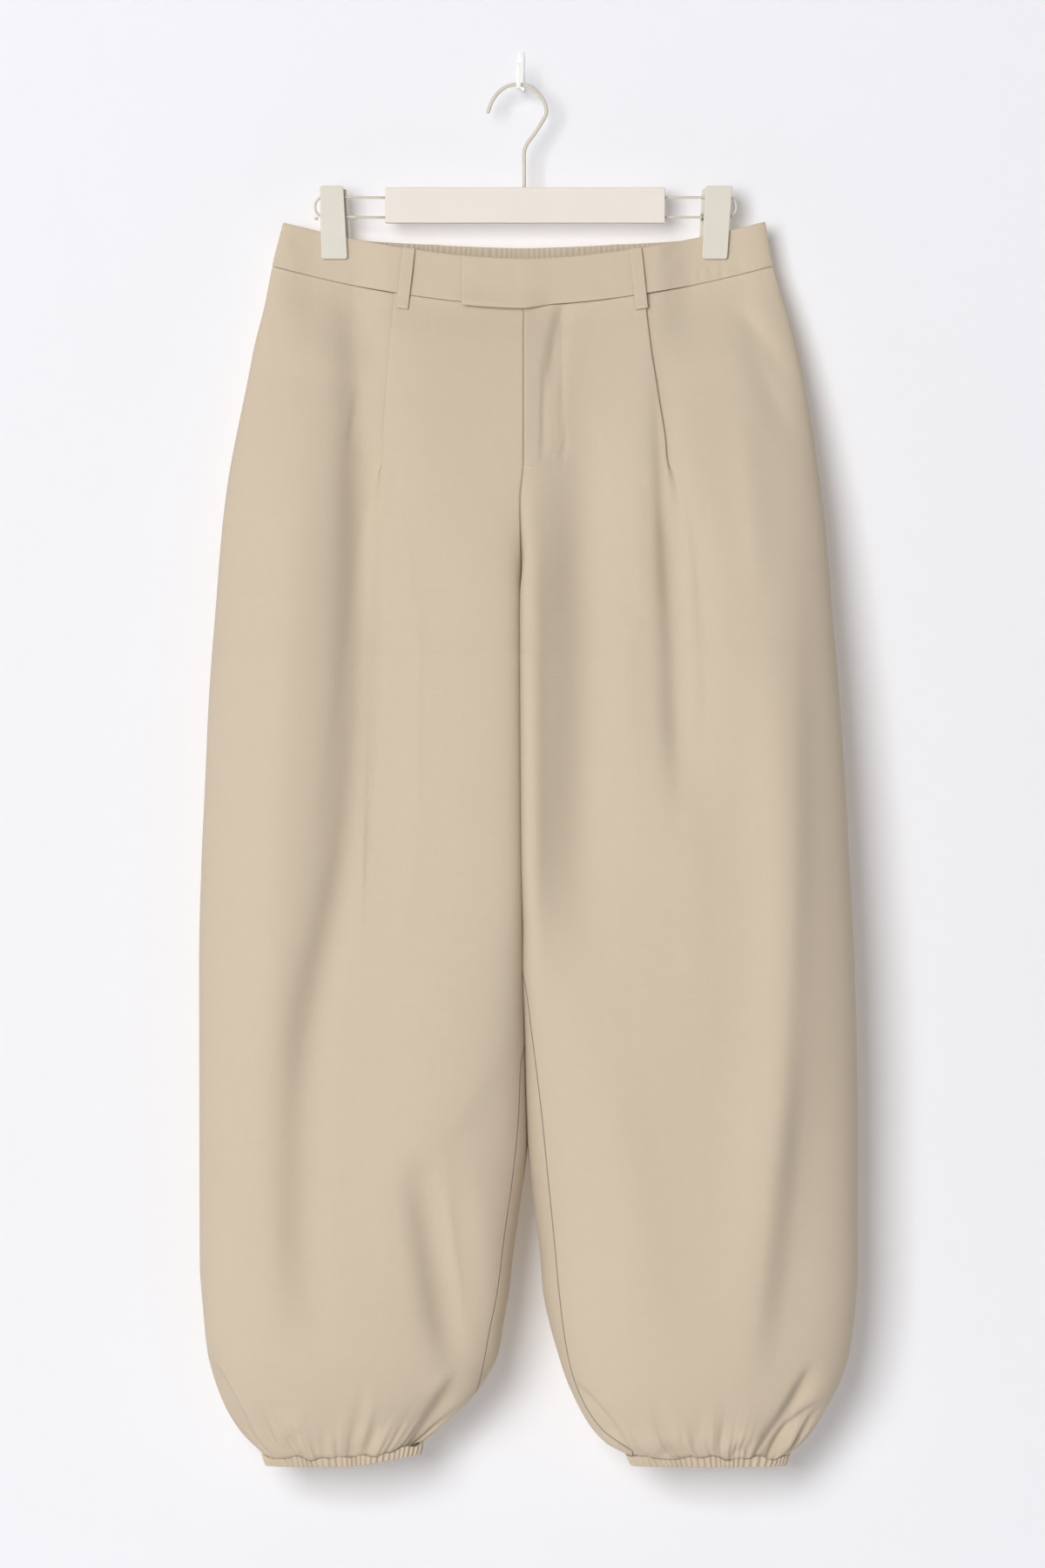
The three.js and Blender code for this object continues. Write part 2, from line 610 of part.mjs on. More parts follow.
// The back waistband, one piece from side seam to side seam, ruffled by its elastic. The
// ruffles die out at the side seams and under the clips.
const RUFFLE_END = 4;
const RUFFLE_FULL = 14;
const NIPPED_SHARE = 0.85;
function backBandRow(drop) {
  const halves = ['right', 'left'].map((leg) => {
    const plan = facePlan(leg, 'back', drop);
    const lengths = lengthsOf(plan.points);
    const { to } = trimmed(lengths);
    const half = [];
    for (let i = 0; i <= BACK_BAND_COLUMNS; i += 1) {
      const length = mix(0, to, i / BACK_BAND_COLUMNS);
      const station = stationAt(plan, lengths, length);
      const ends = 1 - smooth(to - RUFFLE_FULL, to - RUFFLE_END, length);
      const nipped = NIPPED_SHARE * nipAt(station.reach, NIP_FULL_DROP);
      const ruffle = BAND_RUFFLE * ends * (1 - nipped);
      const outward = (i % 2 ? 1 : -1) * ruffle;
      half.push({ ...station, ...moveStation(station, 0, outward), leg, face: 'back' });
    }
    return half;
  });
  return [...halves[0].slice(1).reverse(), ...halves[1]];
}
const backBand = BAND_ROWS.map(backBandRow);
add('waistband_back', wallOfRows('right', 'back', backBand, BAND_ROWS, BAND_WALL), CLOTH);

// The facing behind the fly: straight down its outer side, then round to the centre.
const FACING_ROWS = [2, LOOP_TAIL, 28, 48, 70, 94, 108, FLY_FADE_START, 124];
const FACING_DEPTH = PANEL_WALL + 2 * SEAM_GAP;
const FACING_COLUMNS = 3;
const FACING_EDGE = 1.6;
const FACING_TIP = 7;
const FACING_CURL_START = 96;
function facingRow(drop) {
  const curl = Math.max(0, (drop - FACING_CURL_START) / (FLY_BOTTOM - FACING_CURL_START));
  const width = mix(FACING_TIP, FLY_WIDTH, Math.sqrt(1 - curl ** 2));
  return Array.from({ length: FACING_COLUMNS + 1 }, (_, i) => (
    stationAtX('left', 'front', mix(FACING_EDGE, width, i / FACING_COLUMNS), drop)
  ));
}
const facingRows = FACING_ROWS.map(facingRow);
const facingInner = -FACING_DEPTH - FACING_WALL;
const facing = layerOver('left', 'front', facingRows, FACING_ROWS, facingInner, -FACING_DEPTH);
add('fly_facing', facing, CLOTH);

// Elastic casings at the hems, rings of fine ruffles.
function casingRow(leg, drop) {
  const ring = [];
  for (const face of ['front', 'back']) {
    const plan = facePlan(leg, face, drop);
    const lengths = lengthsOf(plan.points);
    const total = lengths[lengths.length - 1];
    const half = CASING_COLUMNS / 2;
    for (let i = 0; i < half; i += 1) {
      const part = face === 'front' ? i / half : 1 - i / half;
      const station = stationAt(plan, lengths, total * part);
      const outward = (i % 2 ? 1 : -1) * CASING_RUFFLE;
      ring.push({ ...station, ...moveStation(station, 0, outward), leg, face });
    }
  }
  return ring;
}
const casingDrops = [HEM_DROP, HEM_DROP + CASING_HEIGHT / 2, HEM_DROP + CASING_HEIGHT];
for (const leg of ['right', 'left']) {
  const rows = casingDrops.map((drop) => casingRow(leg, drop));
  const geometry = wallOfRows(leg, 'front', rows, casingDrops, CASING_WALL, true);
  add(`hem_casing_${leg}`, geometry, CLOTH);
}

// Belt loops: straps over the band, from its top edge to below the waist seam.
const LOOPS = [
  { name: 'front_right', leg: 'right', face: 'front', topX: -88.8, bottomX: -94.2 },
  { name: 'front_left', leg: 'left', face: 'front', topX: 88.2, bottomX: 93.2 },
  { name: 'back_right', leg: 'right', face: 'back', topX: -68.7, bottomX: -70 },
  { name: 'back_left', leg: 'left', face: 'back', topX: 72.8, bottomX: 74 },
];
const LOOP_WIDTH = 9.6;
for (const loop of LOOPS) {
  const drops = [...BAND_ROWS, LOOP_TAIL];
  const clear = loop.face === 'back' ? SEAT_GATHER + LAP_GAP : LAP_GAP;
  const rows = drops.map((drop) => {
    const middle = mix(loop.topX, loop.bottomX, (drop + BAND_HEIGHT) / (LOOP_TAIL + BAND_HEIGHT));
    const sides = [-LOOP_WIDTH / 2, 0, LOOP_WIDTH / 2].map((side) => middle + side);
    if (loop.leg === 'right') sides.reverse();
    return sides.map((x) => stationAtX(loop.leg, loop.face, x, drop));
  });
  const geometry = layerOver(loop.leg, loop.face, rows, drops, clear, clear + LOOP_WALL);
  add(`belt_loop_${loop.name}`, geometry, CLOTH);
}

// A closed round bar along a curve.
function wireGeometry(points, radius, sides, steps) {
  const circle = new THREE.Shape();
  for (let i = 0; i < sides; i += 1) {
    const angle = (2 * Math.PI * i) / sides;
    const [x, y] = [radius * Math.cos(angle), radius * Math.sin(angle)];
    if (i === 0) circle.moveTo(x, y);
    else circle.lineTo(x, y);
  }
  const path = new THREE.CatmullRomCurve3(points, false, 'centripetal');
  return new THREE.ExtrudeGeometry(circle, { steps, extrudePath: path, bevelEnabled: false });
}

// A flat board in the x-z plane with rounded corners, bevelled, standing between two depths.
function boardGeometry(corners, cornerRadius, frontY, backY, bevel) {
  const shape = new THREE.Shape();
  const inset = corners.map(([x, z]) => new THREE.Vector2(x, z));
  inset.forEach((corner, i) => {
    const before = inset[(i + inset.length - 1) % inset.length];
    const after = inset[(i + 1) % inset.length];
    const come = before.clone().sub(corner).setLength(cornerRadius).add(corner);
    const leave = after.clone().sub(corner).setLength(cornerRadius).add(corner);
    if (i === 0) shape.moveTo(come.x, come.y);
    else shape.lineTo(come.x, come.y);
    shape.quadraticCurveTo(corner.x, corner.y, leave.x, leave.y);
  });
  const geometry = new THREE.ExtrudeGeometry(shape, {
    depth: backY - frontY - 2 * bevel,
    bevelThickness: bevel,
    bevelSize: bevel,
    bevelOffset: -bevel,
    bevelSegments: 2,
    curveSegments: 4,
  });
  geometry.rotateX(Math.PI / 2);
  geometry.translate(0, backY - bevel, 0);
  return geometry;
}

// Hanger: a flat bar, a wire hook and a bent wire arm at each end.
const BAR = { left: 111.5, right: -107.4, top: -92.5, bottom: -120.4, thickness: 10 };
const barCorners = [
  [BAR.right, BAR.bottom], [BAR.left, BAR.bottom], [BAR.left, BAR.top], [BAR.right, BAR.top],
];
const barFront = HANGER_Y - BAR.thickness / 2;
const barBack = HANGER_Y + BAR.thickness / 2;
add('hanger_bar', boardGeometry(barCorners, 1.2, barFront, barBack, 0.7), CREAM_BOARD);

const HOOK_RADIUS = 1.5;
const HOOK_PATH = [
  { x: -26.9, z: -33.3 }, { x: -23.5, z: -24.5 }, { x: -18.4, z: -17.7 }, { x: -10.9, z: -12.9 },
  { x: -1.4, z: -11.9 }, { x: 7.5, z: -14.6 }, { x: 14.3, z: -21.1 }, { x: 18.4, z: -29.2 },
  { x: 18.4, z: -35.4 }, { x: 16, z: -40.1 }, { x: 9.5, z: -50.3 }, { x: 3.1, z: -59.2 },
  { x: 1.4, z: -64.6 }, { x: 1.4, z: -76 }, { x: 1.4, z: BAR.top + SEAM_GAP },
];
const hookPoints = HOOK_PATH.map(({ x, z }) => new THREE.Vector3(x, HANGER_Y, z));
add('hanger_hook', wireGeometry(hookPoints, HOOK_RADIUS, 8, 34), CREAM_WIRE);

const ARM_RADIUS = 1;
const ARM_TOP = -100.3;
const ARM_BOTTOM = -115.7;
const ARM_LEAN = 0.4;
const ARM_BEND_SHARE = 0.8;
const ARM_BEND_STEPS = 8;
const ARMS = [
  { leg: 'right', bar: -BAR.right, end: 162.2 },
  { leg: 'left', bar: BAR.left, end: 167.3 },
];
for (const arm of ARMS) {
  const middle = (ARM_TOP + ARM_BOTTOM) / 2;
  const half = (ARM_TOP - ARM_BOTTOM) / 2;
  const swell = half * ARM_BEND_SHARE;
  const bend = Array.from({ length: ARM_BEND_STEPS + 1 }, (_, i) => {
    const angle = Math.PI * (0.5 - i / ARM_BEND_STEPS);
    return [arm.end - swell + swell * Math.cos(angle), middle + half * Math.sin(angle)];
  });
  const start = arm.bar + SEAM_GAP;
  const straight = (z) => [1, 0.5].map((t) => [mix(bend[0][0], start, t), z]);
  const path = [...straight(ARM_TOP), ...bend, ...straight(ARM_BOTTOM).reverse()];
  const points = path.map(([reach, z]) => {
    const lean = ARM_LEAN * (reach - start) / (arm.end - start);
    return new THREE.Vector3(SIGN[arm.leg] * reach, HANGER_Y, z + lean);
  });
  add(`hanger_wire_${arm.leg}`, wireGeometry(points, ARM_RADIUS, 8, 22), CREAM_WIRE);
}

// Clips: a front and a back jaw on either side of the waistband, and the spring housing
// that holds them on the wires.
const CLIPS = [
  { leg: 'right', topIn: 140.2, topOut: 158.4, bottomIn: 136.8, bottomOut: 157.4 },
  { leg: 'left', topIn: 142.9, topOut: 164.2, bottomIn: 140.4, bottomOut: 160.1 },
];
const JAW = { top: -91.3, bottom: -148.6, thickness: 3, corner: 2.2, bevel: 0.5 };
const JAW_GAP = NIP_HALF_DEPTH + SEAM_GAP;
const BACK_JAW_SHIFT = 2.6;
const BACK_JAW_DROP = 2;
const HOUSING = { top: ARM_TOP - ARM_RADIUS, bottom: ARM_BOTTOM + ARM_RADIUS, halfWidth: 6 };
for (const clip of CLIPS) {
  const sign = SIGN[clip.leg];
  const jawCorners = (shift, lower) => [
    [sign * (clip.bottomIn - shift), JAW.bottom], [sign * (clip.bottomOut - shift), JAW.bottom],
    [sign * (clip.topOut - shift), JAW.top - lower], [sign * (clip.topIn - shift), JAW.top - lower],
  ];
  const turned = (corners) => (sign > 0 ? corners : corners.reverse());
  const frontY = HANGER_Y - JAW_GAP;
  const frontJaw = turned(jawCorners(0, 0));
  const front = boardGeometry(frontJaw, JAW.corner, frontY - JAW.thickness, frontY, JAW.bevel);
  add(`clip_front_${clip.leg}`, front, CREAM_CLIP);
  const backY = HANGER_Y + JAW_GAP;
  const backJaw = turned(jawCorners(BACK_JAW_SHIFT, BACK_JAW_DROP));
  const back = boardGeometry(backJaw, JAW.corner, backY, backY + JAW.thickness, JAW.bevel);
  add(`clip_back_${clip.leg}`, back, CREAM_CLIP);
  const centre = sign * (clip.topIn + clip.topOut) / 2;
  const inside = HOUSING.top - SEAM_GAP - (HOUSING.bottom + SEAM_GAP + ARM_LEAN);
  const depthOfHousing = 2 * (JAW_GAP - SEAM_GAP);
  const housing = new THREE.BoxGeometry(2 * HOUSING.halfWidth, depthOfHousing, inside);
  housing.translate(centre, HANGER_Y, HOUSING.top - SEAM_GAP - inside / 2);
  add(`clip_spring_${clip.leg}`, housing, CREAM_CLIP);
}

// Wall hook: a bent strip, flat against the wall, out under the hanger's hook and up. It
// leans a little to the wearer's right on its way out.
const WALL_HOOK = { x: -0.6, width: 3.6, thickness: 1.8, top: 15, prongTop: 5, depth: 28.2 };
const WALL_HOOK_LEAN = 2.4;
const WALL_HOOK_BEND = 3;
const saddleTop = HOOK_PATH[4].z - HOOK_RADIUS - SEAM_GAP;
const saddleBottom = saddleTop - WALL_HOOK.thickness;
const strip = new THREE.Shape();
strip.moveTo(0, WALL_HOOK.top);
strip.lineTo(-WALL_HOOK.thickness, WALL_HOOK.top);
strip.lineTo(-WALL_HOOK.thickness, saddleTop);
strip.lineTo(-WALL_HOOK.depth + WALL_HOOK.thickness, saddleTop);
strip.lineTo(-WALL_HOOK.depth + WALL_HOOK.thickness, WALL_HOOK.prongTop);
strip.lineTo(-WALL_HOOK.depth, WALL_HOOK.prongTop);
strip.lineTo(-WALL_HOOK.depth, saddleBottom + WALL_HOOK_BEND);
strip.quadraticCurveTo(
  -WALL_HOOK.depth, saddleBottom, -WALL_HOOK.depth + WALL_HOOK_BEND, saddleBottom,
);
strip.lineTo(0, saddleBottom);
const wallHook = new THREE.ExtrudeGeometry(strip, {
  depth: WALL_HOOK.width, bevelEnabled: false, curveSegments: 4,
});
wallHook.applyMatrix4(new THREE.Matrix4().set(
  WALL_HOOK_LEAN / WALL_HOOK.depth, 0, 1, WALL_HOOK.x - WALL_HOOK.width / 2,
  1, 0, 0, 0,
  0, 1, 0, 0,
  0, 0, 0, 1,
));
add('wall_hook', wallHook, WHITE_PAINT);

export default object;
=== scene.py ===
"""Balloon trousers on a clip hanger: cloth, sewing, hanger, light and camera."""

import math

import bpy
import numpy as np
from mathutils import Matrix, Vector


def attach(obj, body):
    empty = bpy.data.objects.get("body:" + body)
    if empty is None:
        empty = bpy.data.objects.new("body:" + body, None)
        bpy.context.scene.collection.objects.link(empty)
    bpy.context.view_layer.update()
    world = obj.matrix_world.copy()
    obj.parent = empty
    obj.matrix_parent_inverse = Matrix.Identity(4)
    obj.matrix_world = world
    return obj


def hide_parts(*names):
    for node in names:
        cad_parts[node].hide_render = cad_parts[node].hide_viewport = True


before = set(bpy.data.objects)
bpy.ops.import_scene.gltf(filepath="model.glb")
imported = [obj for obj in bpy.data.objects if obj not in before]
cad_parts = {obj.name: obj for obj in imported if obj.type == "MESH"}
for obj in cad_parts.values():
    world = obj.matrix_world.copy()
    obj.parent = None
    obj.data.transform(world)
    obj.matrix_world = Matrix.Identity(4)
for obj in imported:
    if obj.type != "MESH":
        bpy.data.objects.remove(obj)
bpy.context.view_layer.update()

# Tables and lengths are in millimetres, and meshes are made in metres.
# "drop" is the distance down from the waist seam at the centre front, "reach" the distance
# outward from the centre line, and "level" the height below the waist seam at the centre.
MM = 0.001
SIGN = {"right": -1, "left": 1}
LEGS = ("right", "left")
FACES = ("front", "back")


def table(names, *rows):
    """Rows of numbers as named columns."""
    return dict(zip(names.split(), np.array(rows, float).T))


SEAM_Z = -185
SEAM_GAP = 0.2
EDGE_STEPS = np.array([0, 0.12, 0.35, 0.8])
# Pieces whose seam distance is this far get no painted seam shade and no groove.
NO_SEAM = 90.0  # further from the seam line than the cloth's shader shows
BAND_HEIGHT = 36.5
HEM_DROP = 895
CASING_HEIGHT = 10

OUTLINE = table(
    "drop right left",
    (-67, 187.5, 190), (-31, 196, 196.5), (0, 201.5, 205), (34, 209.5, 214),
    (68, 216, 221), (102, 223, 227), (136, 229.5, 232), (170, 234, 236.5),
    (238, 239.5, 242), (306, 244.5, 247.5), (374, 247.5, 252), (442, 250.5, 255.5),
    (510, 252, 259), (646, 251.8, 261.5), (748, 251.4, 261.5), (782, 249, 259.5),
    (816, 245.5, 255), (836, 240.5, 249), (850, 235.5, 242), (864, 229, 234),
    (877, 220.5, 226), (887, 211, 217), (895, 203, 208.5), (905, 200, 205.5),
)
INNER_EDGE = table(
    "drop right left",
    (-67, 0.85, 1.15), (122, 0.85, 1.15), (153, -1.9, -1.6), (197, -0.9, -0.6),
    (280, 0, 0.3), (496, 1.2, 1.5), (578, 2.5, 2.8), (652, 3.8, 4.1), (696, -1, 8.2),
    (739, -7, 13.6), (768, -10, 15.8), (790, -14, 20), (817, -18.6, 27.5),
    (836, -27, 33.5), (850, -35, 39.5), (864, -45, 46.5), (877, -57, 55),
    (887, -68, 65), (895, -77, 80), (905, -79, 84.5),
)
DEPTH = table(
    "drop middle front back",
    (-67, -24, 9, 9), (0, -24, 11, 10), (34, -27, 20, 16), (68, -31, 28, 22),
    (102, -35, 34, 27.5), (136, -39, 39, 32), (170, -42, 43, 36), (238, -47, 49, 42),
    (306, -51, 53, 46), (442, -55, 57, 50), (578, -57, 59, 52), (714, -57, 58, 51),
    (782, -56.5, 54, 47.5), (816, -56, 50, 43), (850, -56, 42, 35.5),
    (877, -56, 31, 27), (895, -56, 21, 20), (905, -56, 20, 19.5),
)
VALLEY = table(
    "drop front back right left",
    (-67, 1, 1, 2.4, 2.3), (76, 1, 1, 3, 2.7), (102, 0.99, 0.985, 4, 3.6),
    (127, 0.965, 0.95, 5, 4.5), (170, 0.86, 0.87, 6, 6), (204, 0.7, 0.76, 8, 8),
    (238, 0.47, 0.56, 9, 9), (262, 0.25, 0.32, 9, 9), (280, 0, 0, 9, 9),
    (440, 0, 0, 9, 8), (510, 0, 0, 6, 5), (578, 0, 0, 4, 3.4), (700, 0, 0, 2.5, 2.4),
    (905, 0, 0, 2.2, 2.2),
)
PLEAT = table(
    "drop right left tuck step",
    (-67, 98, 95, 13, 3), (5, 99.6, 95.6, 12, 3), (35, 103, 98.5, 9, 3),
    (79, 107.4, 105.5, 6, 3), (114, 111, 111, 3, 3), (138, 113, 113, -5, 3.2),
    (170, 115.6, 114.5, -9, 3.2), (238, 119, 117, -14, 2.6), (374, 132.6, 124, -22, 1.8),
    (510, 160, 130, -26, 1), (646, 170, 134, -24, 0.5), (823, 165, 142, -14, 0.3),
    (905, 150, 146, -9, 0.2),
)

# Broad folds: three places along each, its half width and how far it sinks the cloth.
FOLD_COLUMNS = "x0 d0 x1 d1 x2 d2 width sink"
BROAD_FOLDS = {
    ("front", "right"): table(
        FOLD_COLUMNS,
        (-165, 10, -183, 250, -206, 700, 30, -9), (-130, 18, -127, 305, -171, 640, 18, 13),
        (-152, 460, -170, 650, -162, 850, 19, 8), (-82, 640, -68, 740, -50, 850, 13, 7),
        (-64, 650, -50, 730, -34, 830, 8, -1.5),
    ),
    ("front", "left"): table(
        FOLD_COLUMNS,
        (46, 40, 52, 300, 38, 560, 26, 13), (6, 110, 6, 330, 5, 590, 10, -3),
        (106, 50, 117, 230, 126, 420, 13, 6), (160, 5, 184, 60, 212, 130, 12, 3),
        (182, 200, 205, 540, 180, 810, 22, -7),
        (62, 560, 80, 690, 104, 830, 24, -3),
    ),
    ("back", "right"): table(
        FOLD_COLUMNS,
        (-96, 60, -112, 300, -120, 560, 24, 7), (-176, 260, -186, 520, -170, 820, 24, 7),
        (-58, 380, -72, 620, -62, 820, 20, 6),
    ),
    ("back", "left"): table(
        FOLD_COLUMNS,
        (88, 50, 104, 260, 124, 480, 24, 7), (182, 300, 176, 560, 190, 820, 24, 7),
        (70, 450, 82, 640, 72, 830, 20, 6),
    ),
}
FOLD_SIDE_FADE = 0.6
FOLD_TAPER = 0.35
SIDE_SQUARENESS = 2.35

WAIST_RISE = 31
WAIST_REACH = 196
WAIST_POWER = 1.7
RISE_FADE = 190
BACK_WAIST_RISE = 9
BACK_WAIST_REACH = 125
CLIP_REACH = 148.5
NIP_HALF_WIDTH = 14.5
NIP_BLEND = 30
NIP_HALF_DEPTH = 1.95
NIP_FULL_DROP = -14
NIP_END_DROP = 62
HEM_LIFT = 9
HEM_LIFT_START = 142
HEM_LIFT_END = 70
HEM_LIFT_HEIGHT = 80
FLY_LAP = 1.5
FLY_WIDTH = 31
FLY_LAP_START = 11.5
FLY_FADE_START = 118
FLY_FADE_END = 140
TAB_END = -47.6
TAB_BLEND = 26
LAP_GAP = 0.35
BAND_WALL = 1.8
CLOTH_WALL = 0.9


def smooth(low, high, value):
    """0 below low, 1 above high, and an S curve between."""
    t = np.clip((value - low) / (high - low), 0, 1)
    return t * t * (3 - 2 * t)


def window(value, low, rise, fall, high):
    """1 between rise and fall, and an S curve down to 0 at low and at high."""
    return smooth(low, rise, value) * (1 - smooth(fall, high, value))


def mix(a, b, t):
    """The value a share t of the way from a to b."""
    return a + (b - a) * t


def curve(source, column, key="drop"):
    """A smooth curve through one column of a table that never overshoots its rows."""
    at, value = source[key], source[column]
    step = np.diff(at)
    slope = np.diff(value) / step
    tangent = np.zeros_like(value)
    tangent[0], tangent[-1] = slope[0], slope[-1]
    before, after = 2 * step[1:] + step[:-1], step[1:] + 2 * step[:-1]
    rising = slope[:-1] * slope[1:] > 0
    with np.errstate(divide="ignore", invalid="ignore"):
        mean = (before + after) / (before / slope[:-1] + after / slope[1:])
    tangent[1:-1] = np.where(rising, mean, 0)

    def read(where):
        d = np.clip(where, at[0], at[-1])
        i = np.clip(np.searchsorted(at, d, side="right") - 1, 0, len(at) - 2)
        t = (d - at[i]) / step[i]
        rise = value[i + 1] - value[i]
        a, b = step[i] * tangent[i], step[i] * tangent[i + 1]
        return value[i] + t * (a + t * (3 * rise - 2 * a - b + t * (a + b - 2 * rise)))

    return read


def waist_rise(face, reach, drop):
    """How much higher the cloth stands at a reach than at the centre line."""
    side = WAIST_RISE * np.abs(reach / WAIST_REACH) ** WAIST_POWER
    if face == "back":
        side = side + BACK_WAIST_RISE * np.maximum(0, 1 - (reach / BACK_WAIST_REACH) ** 2)
    return side * (1 - smooth(0, RISE_FADE, drop))


def height_at(leg, face, reach, drop):
    """The height of the cloth at a reach and drop."""
    z = SEAM_Z - drop + waist_rise(face, reach, drop)
    if leg == "right":
        inward = 1 - smooth(HEM_LIFT_END, HEM_LIFT_START, reach)
        z = z + HEM_LIFT * inward * smooth(HEM_DROP - HEM_LIFT_HEIGHT, HEM_DROP, drop)
    return z


def broad_sink(face, leg, x, drop):
    """How far the broad folds sink the cloth."""
    sink = 0
    folds = BROAD_FOLDS[face, leg]
    for x0, d0, x1, d1, x2, d2, width, depth in zip(*folds.values()):
        t = np.clip((drop - d0) / (d2 - d0), 0, 1)
        tm = (d1 - d0) / (d2 - d0)
        bow = (x1 - mix(x0, x2, tm)) / (tm * (1 - tm))
        middle = mix(x0, x2, t) + bow * t * (1 - t)
        along = window(t, 0, FOLD_TAPER, 1 - FOLD_TAPER, 1)
        sink = sink + depth * along * np.exp(-(((x - middle) / width) ** 2))
    return sink


def nip_at(reach, drop):
    """1 where the hanger's clips hold the cloth flat."""
    across = 1 - smooth(NIP_HALF_WIDTH, NIP_HALF_WIDTH + NIP_BLEND, np.abs(reach - CLIP_REACH))
    return across * (1 - smooth(NIP_FULL_DROP, NIP_END_DROP, drop))


def fly_lap(reach, drop):
    """The left front stands proud over the fly's width."""
    begin = np.clip(drop / FLY_LAP_START, 0, 1)
    finish = np.clip((FLY_FADE_END - drop) / (FLY_FADE_END - FLY_FADE_START), 0, 1)
    return FLY_LAP * begin * finish * (1 - smooth(0, FLY_WIDTH, reach))


FINE = 480  # steps round one half of the body


class Plan:
    """Fine points round one half of the body at each drop, from the centre to the side seam."""

    def __init__(self, leg, face, drops):
        self.leg, self.face = leg, face
        self.sign = SIGN[leg]
        self.drops = np.asarray(drops, float)
        drop = self.drops[:, None]
        outer = curve(OUTLINE, leg)(drop - WAIST_RISE * (1 - smooth(0, RISE_FADE, drop)))
        inner = self.sign * curve(INNER_EDGE, leg)(drop)
        middle, crown = curve(DEPTH, "middle")(drop), curve(DEPTH, face)(drop)
        inner_power = 2 / curve(VALLEY, leg)(drop)
        start_sine = np.clip(curve(VALLEY, face)(drop), 0, 1) ** (1 / inner_power)
        start_cosine = np.sqrt(np.maximum(0, 1 - start_sine**2))
        radius = (outer - inner) / (1 + start_cosine**inner_power)
        angle = mix(np.arcsin(start_sine), math.pi, np.linspace(0, 1, FINE + 1)[None, :])
        cosine = np.cos(angle)
        power = np.where(cosine > 0, inner_power, 2 / SIDE_SQUARENESS)
        self.reach = outer - radius - radius * np.sign(cosine) * np.abs(cosine) ** power
        out = crown * np.maximum(0, np.sin(angle)) ** power
        fade = np.minimum(1, out / (FOLD_SIDE_FADE * crown))
        out = out - broad_sink(face, leg, self.sign * self.reach, drop) * fade
        if (face, leg) == ("front", "left"):
            out = out + fly_lap(self.reach, drop)
        out = mix(out, np.minimum(out, NIP_HALF_DEPTH), nip_at(self.reach, drop))
        forward = -1 if face == "front" else 1
        self.x, self.y = self.sign * self.reach, middle + forward * out
        steps = np.hypot(np.diff(self.x), np.diff(self.y))
        start = np.zeros((len(self.drops), 1))
        self.length = np.concatenate([start, np.cumsum(steps, axis=1)], axis=1)
        self.total = self.length[:, -1:]
        dx, dy = np.gradient(self.x, axis=1), np.gradient(self.y, axis=1)
        size = np.maximum(np.hypot(dx, dy), 1e-9)
        self.turn = forward * self.sign
        self.along = dx / size, dy / size
        self.outward = -self.turn * dy / size, self.turn * dx / size

    def _read(self, values, lengths):
        rows = [np.interp(w, at, v) for w, at, v in zip(lengths, self.length, values)]
        return np.array(rows)

    def length_at_reach(self, reach):
        """The length from the centre at which each row first stands this far out."""
        reach = np.broadcast_to(reach, (len(self.drops), np.shape(reach)[-1]))
        climbing = np.maximum.accumulate(self.reach, axis=1)
        return np.array([np.interp(r, c, at) for r, c, at in zip(reach, climbing, self.length)])

    def stations(self, lengths):
        """x, y, tangent and outward normal at lengths given as rows by columns."""
        lengths = np.broadcast_to(lengths, (len(self.drops), lengths.shape[-1]))
        return Stations(
            self,
            lengths,
            *(self._read(v, lengths) for v in (self.x, self.y, *self.along, *self.outward)),
        )


class Stations:
    """Rows and columns of places on a plan, which can be moved and turned into points."""

    NAMES = ("lengths", "x", "y", "tx", "ty", "nx", "ny")

    def __init__(self, plan, *values):
        self.plan = plan
        for name, value in zip(self.NAMES, values):
            setattr(self, name, value)
        self.drop = np.broadcast_to(plan.drops[:, None], self.x.shape)

    def changed(self, **values):
        kept = {name: getattr(self, name) for name in self.NAMES}
        return Stations(self.plan, *{**kept, **values}.values())

    def moved(self, along, outward):
        x = self.x + along * self.tx + outward * self.nx
        y = self.y + along * self.ty + outward * self.ny
        return self.changed(x=x, y=y)

    def raised(self, height):
        """Moved out of the plan, whichever way the wall faces."""
        lift = self.plan.turn * height
        return self.changed(x=self.x - lift * self.ty, y=self.y + lift * self.tx)

    def turned(self, by_outward, by_along):
        """With the wall's direction mixed from the outward and the along directions."""
        nx = by_outward * self.nx + by_along * self.tx
        ny = by_outward * self.ny + by_along * self.ty
        return self.changed(nx=nx, ny=ny)

    def points(self):
        plan = self.plan
        z = height_at(plan.leg, plan.face, plan.sign * self.x, self.drop)
        return np.stack([self.x, self.y, z], axis=-1)

    def normals(self):
        return np.stack([self.nx, self.ny, 0 * self.nx], axis=-1)

    def uv(self):
        """Where the cloth lies when it is flat."""
        return np.stack([self.lengths, -self.drop], axis=-1)

    @classmethod
    def joined(cls, parts):
        columns = ([getattr(p, name) for p in parts] for name in cls.NAMES)
        return cls(parts[0].plan, *(np.concatenate(c, axis=1) for c in columns))
